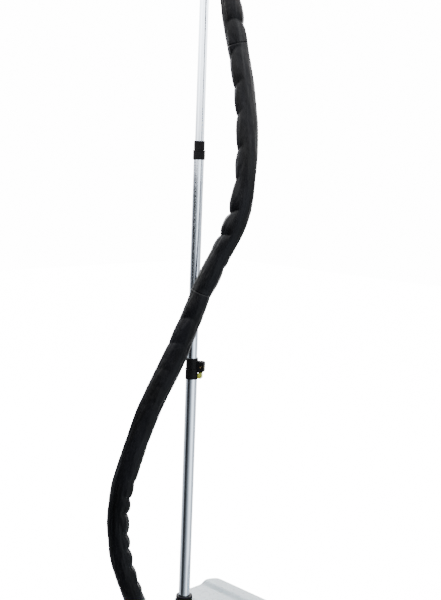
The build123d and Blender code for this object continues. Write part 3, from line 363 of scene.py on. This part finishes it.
hoseLook = {"radius": 0.0205, "around": 80, "perSpan": 36, "topFold": 0.062, "lowFold": 0.040,
            "foldDepth": 0.0036, "lobe": 0.0056, "creases": 0.0014, "flatten": 0.03,
            "fullPlace": 0.62, "fullSpan": 0.17, "full": 0.0020, "fullSide": 0.0032, "sideAngle": 2.36,
            "smoothWhereFull": 0.75, "tight": 0.0258, "spill": 0.35, "gather": 0.02, "gatherDepth": 0.0012,
            "pleats": 14, "pleatDepth": 0.0006, "hardBend": 3.4, "bendReach": 14, "foldChange": 0.55,
            "drift": 0.35, "driftScale": 0.6, "driftSeed": (3.1, 0.7), "twist": 0.35, "lobePower": 0.6,
            "insidePower": 0.7, "creaseAround": 2.2, "creaseAlong": 16, "creaseNoise": (0.7, 2.2, 4)}
hoseRoute = [
    (0, 0.021, 1.489), (0.005, 0.017, 1.440), (0.016, -0.006, 1.345), (0.019, -0.026, 1.240),
    (0.017, -0.030, 1.135), (0.012, -0.018, 1.035), (-0.022, 0.024, 0.935), (-0.043, 0.054, 0.840),
    (-0.071, 0.076, 0.745), (-0.114, 0.101, 0.645), (-0.148, 0.113, 0.545), (-0.178, 0.123, 0.440),
    (-0.175, 0.117, 0.330), (-0.145, 0.109, 0.242), (-0.117, 0.104, 0.181), (-0.103, 0.101, 0.132)]
hoseCuts = ((hoseRoute[1][2] + hoseRoute[2][2]) / 2, (hoseRoute[6][2] + hoseRoute[7][2]) / 2)


def routeLine(points, perSpan):
    curve = bpy.data.curves.new("hoseRoute", "CURVE")
    curve.dimensions = "3D"
    curve.resolution_u = perSpan
    spline = curve.splines.new("NURBS")
    spline.points.add(len(points) - 1)
    for point, place in zip(spline.points, points):
        point.co = (*place, 1)
    spline.order_u = 3
    spline.use_endpoint_u = True
    holder = bpy.data.objects.new("hoseRoute", curve)
    mesh = bpy.data.meshes.new_from_object(holder)
    line = [vertex.co.copy() for vertex in mesh.vertices]
    bpy.data.meshes.remove(mesh)
    bpy.data.objects.remove(holder)
    bpy.data.curves.remove(curve)
    return line


def lineFrames(line):
    # distance along, two directions square to the line, and which way and how hard it bends
    distance = [0.0]
    for low, high in zip(line, line[1:]):
        distance.append(distance[-1] + (high - low).length)
    ways = [(line[min(i + 1, len(line) - 1)] - line[max(i - 1, 0)]).normalized() for i in range(len(line))]
    side = Vector((1, 0, 0)).cross(ways[0]).normalized()
    frames = []
    reach = hoseLook["bendReach"]
    for i, way in enumerate(ways):
        side = (side - way * side.dot(way)).normalized()
        before, after = ways[max(i - reach, 0)], ways[min(i + reach, len(ways) - 1)]
        span = distance[min(i + reach, len(ways) - 1)] - distance[max(i - reach, 0)]
        frames.append((side.copy(), way.cross(side), (after - before) / max(span, 1e-6)))
    return distance, frames


def sleeveRadius(along, angle, bend, whole):
    look = hoseLook
    share = along / whole
    pitch = look["topFold"] if share < look["foldChange"] else look["lowFold"]
    seed = Vector((along / pitch * look["driftScale"], *look["driftSeed"]))
    drift = look["drift"] * pitch * noise.noise(seed)
    wave = abs(math.sin(math.pi * (along + drift) / pitch + look["twist"] * math.sin(angle * 2)))
    lobe = wave ** look["lobePower"]
    # the sleeve hangs fuller and smoother where it crosses the pole
    full = max(0.0, 1 - ((share - look["fullPlace"]) / look["fullSpan"]) ** 2)
    inside = max(0.0, bend) ** look["insidePower"] * (1 - look["smoothWhereFull"] * full)
    radius = look["radius"] - look["foldDepth"] * inside * (1 - lobe) + look["lobe"] * inside * lobe
    radius += look["flatten"] * look["radius"] * math.cos(2 * angle + 3 * share)
    around = look["creaseAround"]
    ring = Vector((around * math.cos(angle), around * math.sin(angle), along * look["creaseAlong"]))
    radius += look["creases"] * noise.fractal(ring, *look["creaseNoise"])
    radius += full * (look["full"] + look["fullSide"] * max(0.0, math.cos(angle - look["sideAngle"])))
    end = min(along, whole - along)
    gather = max(0.0, 1 - end / look["gather"])
    radius -= gather * (look["gatherDepth"] + look["pleatDepth"] * math.sin(look["pleats"] * angle))
    # the hose inside holds the widest folds back
    radius = min(radius, look["tight"] + look["spill"] * (radius - look["tight"]))
    return radius


def sleevePiece(name, line, distance, frames, first, last, whole):
    look = hoseLook
    around = look["around"]
    verts, faces, uvs = [], [], []
    for i in range(first, last + 1):
        side, across, bendWay = frames[i]
        for k in range(around):
            angle = 2 * math.pi * k / around
            out = side * math.cos(angle) + across * math.sin(angle)
            bend = min(1.0, out.dot(bendWay) / look["hardBend"])
            verts.append(line[i] + out * sleeveRadius(distance[i], angle, bend, whole))
    rings = last - first + 1
    for r in range(rings - 1):
        v0, v1 = distance[first + r], distance[first + r + 1]
        for k in range(around):
            n = (k + 1) % around
            faces.append((r * around + k, (r + 1) * around + k, (r + 1) * around + n, r * around + n))
            u0 = 2 * math.pi * look["radius"] * k / around
            u1 = 2 * math.pi * look["radius"] * (k + 1) / around
            uvs += [(u0, v0), (u0, v1), (u1, v1), (u1, v0)]
    wallFaces = len(faces)
    for ring, flip in ((0, False), (rings - 1, True)):
        verts.append(line[first + ring])
        for k in range(around):
            a, b = ring * around + k, ring * around + (k + 1) % around
            faces.append((len(verts) - 1, b, a) if flip else (len(verts) - 1, a, b))
            uvs += [(0, distance[first + ring])] * 3
    mesh = bpy.data.meshes.new(name)
    mesh.from_pydata(verts, [], faces)
    mesh.uv_layers.new(name="UVMap").data.foreach_set("uv", np.array(uvs, np.float32).ravel())
    mesh.polygons.foreach_set("use_smooth", [i < wallFaces for i in range(len(faces))])
    mesh.materials.append(finishes["sleeve"])
    mesh.update()
    piece = bpy.data.objects.new(name, mesh)
    bpy.context.scene.collection.objects.link(piece)
    return piece


hoseLine = routeLine(hoseRoute, hoseLook["perSpan"])
hoseDistance, hoseFrames = lineFrames(hoseLine)
hoseWhole = hoseDistance[-1]
hoseBreaks = [next(i for i, p in enumerate(hoseLine) if p.z < cut) for cut in hoseCuts]
hoseBreaks = [0, *hoseBreaks, len(hoseLine) - 1]
# first and last break, the node that the piece replaces, and the bodies at its lower and upper end
hoseSpans = {
    "hoseTop": (0, 1, "hose_top", "top", "head"),
    "hoseMiddle": (1, 2, "hose_middle", "middle", "top"),
    "hoseLower": (2, 3, "hose_lower", "root", "middle"),
}
hosePieces, hoseLines = {}, {}
for pieceName, (a, b, cadNode, lowBody, highBody) in hoseSpans.items():
    first, last = hoseBreaks[a], hoseBreaks[b]
    piece = sleevePiece(pieceName, hoseLine, hoseDistance, hoseFrames, first, last, hoseWhole)
    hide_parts(cadNode)
    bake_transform(piece)
    hosePieces[pieceName], hoseLines[pieceName] = piece, hoseLine[first:last + 1]
print("hose sleeve:", round(hoseWhole, 3), "m in", len(hosePieces), "lengths")


# Geometry Nodes: small raised shapes that repeat round a ring or along a line


def newTree(name, inputs):
    tree = bpy.data.node_groups.new(name, "GeometryNodeTree")
    tree.interface.new_socket("Geometry", in_out="INPUT", socket_type="NodeSocketGeometry")
    for label, kind in inputs:
        tree.interface.new_socket(label, in_out="INPUT", socket_type=kind)
    tree.interface.new_socket("Geometry", in_out="OUTPUT", socket_type="NodeSocketGeometry")
    return tree, tree.nodes.new("NodeGroupInput").outputs, tree.nodes.new("NodeGroupOutput").inputs


def treeNode(tree, kind, links, **settings):
    node = tree.nodes.new(kind)
    for name, value in settings.items():
        setattr(node, name, value)
    for name, source in links.items():
        socket = node.inputs[name]
        if hasattr(source, "links"):
            tree.links.new(source, socket)
        else:
            socket.default_value = source
    return node


ribLook = {"levels": 2, "crease": 0.55}


def roundedRib(tree, size):
    cube = treeNode(tree, "GeometryNodeMeshCube", {"Size": size})
    soft = treeNode(tree, "GeometryNodeSubdivisionSurface", {
        "Mesh": cube.outputs["Mesh"], "Level": ribLook["levels"], "Edge Crease": ribLook["crease"]})
    smooth = treeNode(tree, "GeometryNodeSetShadeSmooth", {"Geometry": soft.outputs["Mesh"]})
    return smooth.outputs["Geometry"]


def finishTree(tree, source, place, turn, finish, output):
    real = treeNode(tree, "GeometryNodeRealizeInstances", {"Geometry": source})
    moved = treeNode(tree, "GeometryNodeTransform", {
        "Geometry": real.outputs["Geometry"], "Translation": place, "Rotation": turn})
    done = treeNode(tree, "GeometryNodeSetMaterial", {
        "Geometry": moved.outputs["Geometry"], "Material": finish})
    tree.links.new(done.outputs["Geometry"], output["Geometry"])


def ringTree():
    # ribs on a circle in the XY plane, each with its own X pointing outwards
    tree, given, output = newTree("ribsRoundRing", [
        ("Count", "NodeSocketInt"), ("Radius", "NodeSocketFloat"), ("Rib", "NodeSocketVector"),
        ("Lean", "NodeSocketFloat"), ("Place", "NodeSocketVector"), ("Turn", "NodeSocketRotation"),
        ("Finish", "NodeSocketMaterial")])
    circle = treeNode(tree, "GeometryNodeMeshCircle", {
        "Vertices": given["Count"], "Radius": given["Radius"]})
    where = treeNode(tree, "GeometryNodeInputPosition", {})
    aim = treeNode(tree, "FunctionNodeAlignRotationToVector", {"Vector": where.outputs["Position"]},
                   axis="X", pivot_axis="Z")
    leaned = treeNode(tree, "ShaderNodeCombineXYZ", {"Y": given["Lean"]})
    lean = treeNode(tree, "FunctionNodeEulerToRotation", {"Euler": leaned.outputs["Vector"]})
    both = treeNode(tree, "FunctionNodeRotateRotation", {"Rotation": aim.outputs["Rotation"],
                                                         "Rotate By": lean.outputs["Rotation"]},
                    rotation_space="LOCAL")
    ribs = treeNode(tree, "GeometryNodeInstanceOnPoints", {
        "Points": circle.outputs["Mesh"], "Instance": roundedRib(tree, given["Rib"]),
        "Rotation": both.outputs["Rotation"]})
    finishTree(tree, ribs.outputs["Instances"], given["Place"], given["Turn"], given["Finish"], output)
    return tree


def lineTree():
    # ribs along a given line, each with its own Z along it
    tree, given, output = newTree("ribsAlongLine", [
        ("Spacing", "NodeSocketFloat"), ("Rib", "NodeSocketVector"), ("Finish", "NodeSocketMaterial")])
    curve = treeNode(tree, "GeometryNodeMeshToCurve", {"Mesh": given["Geometry"]})
    points = treeNode(tree, "GeometryNodeCurveToPoints", {"Curve": curve.outputs["Curve"],
                                                          "Length": given["Spacing"]}, mode="LENGTH")
    ribs = treeNode(tree, "GeometryNodeInstanceOnPoints", {
        "Points": points.outputs["Points"], "Instance": roundedRib(tree, given["Rib"]),
        "Rotation": points.outputs["Rotation"]})
    finishTree(tree, ribs.outputs["Instances"], (0, 0, 0), (0, 0, 0), given["Finish"], output)
    return tree


ringOfRibs, lineOfRibs = ringTree(), lineTree()


def treeResult(name, tree, values, line=None):
    source = bpy.data.meshes.new(name + "Source")
    if line is not None:
        source.from_pydata([tuple(p) for p in line], [(i, i + 1) for i in range(len(line) - 1)], [])
    holder = bpy.data.objects.new(name + "Source", source)
    bpy.context.scene.collection.objects.link(holder)
    modifier = holder.modifiers.new("ribs", "NODES")
    modifier.node_group = tree
    for item in tree.interface.items_tree:
        if item.in_out == "INPUT" and item.name in values:
            modifier[item.identifier] = values[item.name]
    bpy.context.view_layer.update()
    shown = holder.evaluated_get(bpy.context.evaluated_depsgraph_get())
    mesh = bpy.data.meshes.new_from_object(shown)
    bpy.data.objects.remove(holder)
    bpy.data.meshes.remove(source)
    mesh.name = name
    piece = bpy.data.objects.new(name, mesh)
    bpy.context.scene.collection.objects.link(piece)
    return piece


def ribRing(name, body, slot, look, place, turn=(0, 0, 0), finish=None):
    piece = treeResult(name, ringOfRibs, {
        "Count": look["count"], "Radius": look["radius"], "Rib": look["rib"], "Lean": look.get("lean", 0.0),
        "Place": place, "Turn": turn, "Finish": finish or finishes[slot]})
    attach(piece, body)


def ribLine(name, body, slot, spacing, rib, line, finish=None):
    piece = treeResult(name, lineOfRibs, {
        "Spacing": spacing, "Rib": rib, "Finish": finish or finishes[slot]}, line)
    if body:
        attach(piece, body)
    return piece


# Stitches of the sleeve's seam, along the side away from the pole's front


stitchLook = {"angle": 1.9, "spacing": 0.0052, "rib": (0.0009, 0.0009, 0.0036), "proud": 0.0001}


def seamLine(first, last):
    points = []
    for i in range(first, last + 1):
        side, across, bendWay = hoseFrames[i]
        out = side * math.cos(stitchLook["angle"]) + across * math.sin(stitchLook["angle"])
        bend = min(1.0, out.dot(bendWay) / hoseLook["hardBend"])
        radius = sleeveRadius(hoseDistance[i], stitchLook["angle"], bend, hoseWhole)
        points.append(hoseLine[i] + out * (radius + stitchLook["proud"]))
    return points


for pieceName, (a, b, cadNode, lowBody, highBody) in hoseSpans.items():
    first, last = hoseBreaks[a], hoseBreaks[b]
    seam = ribLine(pieceName + "Seam", None, "sleeve", stitchLook["spacing"], stitchLook["rib"],
                   seamLine(first, last), threadFinish)
    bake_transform(seam)

print("seam stitches")


# Grip ribs and plain marks, each on the body that it moves with


knobLook = {"count": 30, "rib": (0.0014, 0.0015, 0.011), "drop": 0.85, "ticks": 24,
            "tick": (0.0034, 0.0007, 0.0004), "tickOut": 0.0008}
cuffLook = {"count": 30, "rib": (0.0012, 0.0018, 0.017), "lift": 0.75}
tyreLook = {"count": 26, "rib": (0.0050, 0.0012, 0.0012), "radius": 0.0192}
armLook = {"spacing": 0.0055, "rib": (0.0064, 0.0016, 0.0016), "start": 0.30, "end": 0.97, "steps": 24,
           "clear": 0.05}
levelLook = {"spacing": 0.0125, "rib": (0.0006, 0.0100, 0.0009), "start": 0.16, "end": 0.88}
triggerLook = {"spacing": 0.0034, "rib": (0.0096, 0.0014, 0.0015), "margin": 0.005, "sunk": 0.0002}


def ringRadius(node):
    low, high, centre = boxOf(node)
    return (high.x - low.x) / 2, centre


def knobRidges():
    look = knobLook
    radius, centre = ringRadius("power_knob")
    top = boxOf("power_knob")[1].z
    ribRing("knobRidges", "knob", "black_plastic",
            {"count": look["count"], "radius": radius, "rib": look["rib"]},
            (centre.x, centre.y, top - look["rib"][2] * look["drop"]))


def dialTicks():
    look = knobLook
    knobRadius = ringRadius("power_knob")[0]
    bezelRadius, centre = ringRadius("dial_bezel")
    face = boxOf("dial_bezel")[1].z
    radius = (knobRadius + bezelRadius) / 2 + look["tickOut"]
    ribRing("dialTicks", "root", "white_plastic",
            {"count": look["ticks"], "radius": radius, "rib": look["tick"]},
            (centre.x, centre.y, face), finish=markFinish)


def cuffRibs():
    radius, centre = ringRadius("hose_cuff")
    low = boxOf("hose_cuff")[0].z
    ribRing("cuffRibs", "head", "black_plastic",
            {"count": cuffLook["count"], "radius": radius, "rib": cuffLook["rib"]},
            (centre.x, centre.y, low + cuffLook["rib"][2] * cuffLook["lift"]))


def tyreRibs():
    for side, sign in (("left", -1), ("right", 1)):
        low, high, centre = boxOf("wheel_" + side)
        face = low.x if sign < 0 else high.x
        ribRing(side + "TyreRibs", side + "_wheel", "rubber_black",
                {"count": tyreLook["count"], "radius": tyreLook["radius"], "rib": tyreLook["rib"]},
                (face, centre.y, centre.z), (0, math.pi / 2, 0))


def heightOver(node, x, y):
    # height of a node's upper surface above one place
    shape = cadNodes[node]
    start = Vector((x, y, cadBounds[1].z + armLook["clear"]))
    hit, place = shape.ray_cast(start, Vector((0, 0, -1)))[:2]
    return place.z if hit else None


def armRibs():
    look = armLook
    for side, sign in (("left", -1), ("right", 1)):
        low, high, centre = boxOf("hanger_arm_" + side)
        inner, outer = (high.x, low.x) if sign < 0 else (low.x, high.x)
        line = []
        for step in range(look["steps"] + 1):
            share = look["start"] + (look["end"] - look["start"]) * step / look["steps"]
            x = inner + (outer - inner) * share
            top = heightOver("hanger_arm_" + side, x, centre.y)
            if top is not None:
                line.append((x, centre.y, top))
        ribLine(side + "ArmRibs", side + "_arm", "black_plastic", look["spacing"], look["rib"], line)


def levelMarks():
    low, high, centre = boxOf("tank_shell")
    span = high.z - low.z
    across = (centre.y + low.y) / 2
    line = [(high.x, across, low.z + span * levelLook[k]) for k in ("start", "end")]
    ribLine("levelMarks", "tank", "tank_plastic", levelLook["spacing"], levelLook["rib"], line,
            finishes["pan_plastic"])


def triggerRibs():
    low, high, centre = boxOf("steam_trigger")
    look = triggerLook
    line = [(centre.x, low.y + look["sunk"], z) for z in (low.z + look["margin"], high.z - look["margin"])]
    ribLine("triggerRibs", "trigger", "lime_plastic", look["spacing"], look["rib"], line)


# Valve spring: a coil that stands in for the valve spring part


springLook = {"wire": 0.0004, "turns": 3.0, "perTurn": 40, "aroundWire": 14}


def coilTree():
    tree, given, output = newTree("coilSpring", [
        ("Turns", "NodeSocketFloat"), ("Radius", "NodeSocketFloat"), ("Height", "NodeSocketFloat"),
        ("Wire", "NodeSocketFloat"), ("Place", "NodeSocketVector"), ("Finish", "NodeSocketMaterial")])
    spiral = treeNode(tree, "GeometryNodeCurveSpiral", {
        "Resolution": springLook["perTurn"], "Rotations": given["Turns"], "Start Radius": given["Radius"],
        "End Radius": given["Radius"], "Height": given["Height"]})
    section = treeNode(tree, "GeometryNodeCurvePrimitiveCircle", {
        "Resolution": springLook["aroundWire"], "Radius": given["Wire"]})
    wire = treeNode(tree, "GeometryNodeCurveToMesh", {
        "Curve": spiral.outputs["Curve"], "Profile Curve": section.outputs["Curve"], "Fill Caps": True})
    smooth = treeNode(tree, "GeometryNodeSetShadeSmooth", {"Geometry": wire.outputs["Mesh"]})
    finishTree(tree, smooth.outputs["Geometry"], given["Place"], (0, 0, 0), given["Finish"], output)
    return tree


def valveSpring():
    look = springLook
    low, high, centre = boxOf("valve_spring")
    wire = look["wire"]
    piece = treeResult("valveSpring", coilTree(), {
        "Turns": look["turns"], "Radius": (high.x - low.x) / 2 - wire, "Height": high.z - low.z - 2 * wire,
        "Wire": wire, "Place": (centre.x, centre.y, low.z + wire), "Finish": finishes["steel"]})
    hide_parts("valve_spring")
    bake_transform(piece)


details = [valveSpring, knobRidges, dialTicks, cuffRibs, tyreRibs, armRibs, levelMarks, triggerRibs]
for makeDetail in details:
    makeDetail()
print("grip ribs and marks")


# Stage: pale floor, soft light, and a screen that only polished surfaces see


stageLook = {"floor": (0.86, 0.86, 0.86), "size": 14.0, "seenGlow": 15.0, "floorGlow": 1.1,
             "around": 0.75, "skyLow": 1.2, "skyHigh": 7.0, "skyRise": 0.13,
             "floorDrop": 0.0005, "lightHeight": 0.8}


def glowFor(tree, eye, shine, rest):
    # one strength for the eye, one for polished surfaces, one for everything else
    ray = tree.nodes.new("ShaderNodeLightPath")
    result = rest
    for label, value in (("Is Glossy Ray", shine), ("Is Camera Ray", eye)):
        mix = tree.nodes.new("ShaderNodeMix")
        tree.links.new(ray.outputs[label], mix.inputs[0])
        for socket, source in ((mix.inputs[2], result), (mix.inputs[3], value)):
            if hasattr(source, "links"):
                tree.links.new(source, socket)
            else:
                socket.default_value = source
        result = mix.outputs[0]
    return result


def stageFloor():
    half, level = stageLook["size"] / 2, -stageLook["floorDrop"]
    square = ((-1, -1), (1, -1), (1, 1), (-1, 1))
    mesh = bpy.data.meshes.new("floor")
    mesh.from_pydata([(x * half, y * half, level) for x, y in square], [], [(0, 1, 2, 3)])
    mesh.materials.append(floorFinish())
    plane = bpy.data.objects.new("floor", mesh)
    bpy.context.scene.collection.objects.link(plane)


def floorFinish():
    material = newMaterial("stageFloor", Roughness=0.75)
    cloud = noiseField(material, surfacePlace(material), 3.0, 3.0)
    tone = ramp(material, cloud, [(0.3, scaled(stageLook["floor"], 0.985)), (0.7, stageLook["floor"])])
    shaderLink(material, "Base Color", tone)
    # the sheet glows for the eye, so that it meets the backdrop without a line
    shaderLink(material, "Emission Strength",
               glowFor(material.node_tree, stageLook["seenGlow"], stageLook["floorGlow"], 0.0))
    material.node_tree.nodes["Principled BSDF"].inputs["Emission Color"].default_value = (1, 1, 1, 1)
    return material


stageFloor()

# A curved screen that only polished surfaces see: degrees left of the view, and how bright it is there
screenLook = {"nearest": 0.28, "radius": 1.2, "foot": 0.002, "height": 1.19, "topShift": 22.0,
              "topContrast": 1.25, "steps": 90, "view": -45.0}
screenTones = [(125, 1.0), (92, 0.9), (76, 0.30), (64, 0.035), (48, 0.018), (38, 0.035), (20, 0.13),
               (2, 0.34), (-18, 0.8), (-38, 2.4), (-62, 3.4), (-84, 1.0), (-105, 0.7), (-130, 1.6)]


def shineScreen():
    look = screenLook
    turns = np.linspace(screenTones[0][0], screenTones[-1][0], look["steps"])
    tones = np.interp(turns, [t for t, glow in screenTones[::-1]], [glow for t, glow in screenTones[::-1]])
    verts, faces, glow = [], [], []
    for turn, tone in zip(turns, tones):
        for reach, height, shift in ((look["nearest"], look["foot"], 0), (look["radius"], look["foot"], 0),
                                     (look["radius"], look["height"], look["topShift"])):
            aside = math.radians(look["view"] - turn - shift)
            verts.append((math.sin(aside) * reach, poleY - math.cos(aside) * reach, height))
            glow.append(tone ** (look["topContrast"] if shift else 1.0))
    for i in range(look["steps"] - 1):
        for k in range(2):
            a = 3 * i + k
            faces.append((a, a + 1, a + 4, a + 3))
    mesh = bpy.data.meshes.new("shineScreen")
    mesh.from_pydata(verts, [], faces)
    mesh.attributes.new("glow", "FLOAT", "POINT").data.foreach_set("value", glow)
    material = newMaterial("shineScreen", Base_Color=(0, 0, 0, 1), Roughness=1.0, Specular_IOR_Level=0.0,
                           Emission_Color=(0.90, 0.96, 1.0, 1))
    level = addNode(material, "ShaderNodeAttribute", attribute_name="glow")
    shaderLink(material, "Emission Strength", level.outputs["Fac"])
    mesh.materials.append(material)
    screen = bpy.data.objects.new("shineScreen", mesh)
    bpy.context.scene.collection.objects.link(screen)
    for kind in ("camera", "diffuse", "shadow", "transmission"):
        setattr(screen, "visible_" + kind, False)


def softLight(name, place, target, size, power):
    data = bpy.data.lights.new(name, "AREA")
    data.shape = "RECTANGLE"
    data.size, data.size_y = size
    data.energy = power
    lamp = bpy.data.objects.new(name, data)
    lamp.location = place
    lamp.rotation_euler = (Vector(target) - Vector(place)).to_track_quat("-Z", "Y").to_euler()
    bpy.context.scene.collection.objects.link(lamp)


# place in metres, size in metres, power in watts
lampLook = {
    "keyLight": ((0.6, -2.6, 2.6), (1.6, 1.6), 60),
    "fillLight": ((-2.8, 0.4, 1.9), (1.2, 2.0), 22),
    "rimLight": ((1.4, 2.4, 2.2), (1.4, 1.4), 30),
}


def studioLight():
    world = bpy.data.worlds.new("studio")
    bpy.context.scene.world = world
    world.use_nodes = True
    background = world.node_tree.nodes["Background"]
    background.inputs["Color"].default_value = (1.0, 1.0, 1.0, 1)
    where = world.node_tree.nodes.new("ShaderNodeTexCoord")
    parts = world.node_tree.nodes.new("ShaderNodeSeparateXYZ")
    world.node_tree.links.new(where.outputs["Generated"], parts.inputs["Vector"])
    sky = world.node_tree.nodes.new("ShaderNodeMapRange")
    world.node_tree.links.new(parts.outputs["Z"], sky.inputs["Value"])
    limits = {"From Min": 0.0, "From Max": stageLook["skyRise"], "To Min": stageLook["skyLow"],
              "To Max": stageLook["skyHigh"]}
    for label, value in limits.items():
        sky.inputs[label].default_value = value
    strength = glowFor(world.node_tree, stageLook["seenGlow"], sky.outputs["Result"], stageLook["around"])
    world.node_tree.links.new(strength, background.inputs["Strength"])
    middle = (0, poleY, stageLook["lightHeight"])
    for name, (place, size, power) in lampLook.items():
        softLight(name, place, middle, size, power)


studioLight()
shineScreen()
print("stage and light")


# Camera


cameraLook = {"around": -45.0, "down": 8.0, "distance": 2.131, "aside": 0.0565, "height": 0.864, "roll": 2.16,
              "lens": 39.76, "filmHeight": 24.0}


def placeCamera():
    look = cameraLook
    turn, tilt, roll = (math.radians(look[k]) for k in ("around", "down", "roll"))
    back = Vector((math.sin(turn) * math.cos(tilt), -math.cos(turn) * math.cos(tilt), math.sin(tilt)))
    right = Vector((math.cos(turn), math.sin(turn), 0))
    up = back.cross(right)
    target = Vector((0, poleY, look["height"])) + right * look["aside"]
    across = right * math.cos(roll) + up * math.sin(roll)
    above = up * math.cos(roll) - right * math.sin(roll)
    data = bpy.data.cameras.new("viewCamera")
    data.sensor_fit = "VERTICAL"
    data.sensor_height = look["filmHeight"]
    data.lens = look["lens"]
    camera = bpy.data.objects.new("viewCamera", data)
    place = Matrix((across, above, back)).transposed().to_4x4()
    place.translation = target + back * look["distance"]
    camera.matrix_world = place
    bpy.context.scene.collection.objects.link(camera)
    bpy.context.scene.camera = camera


placeCamera()
print("camera")
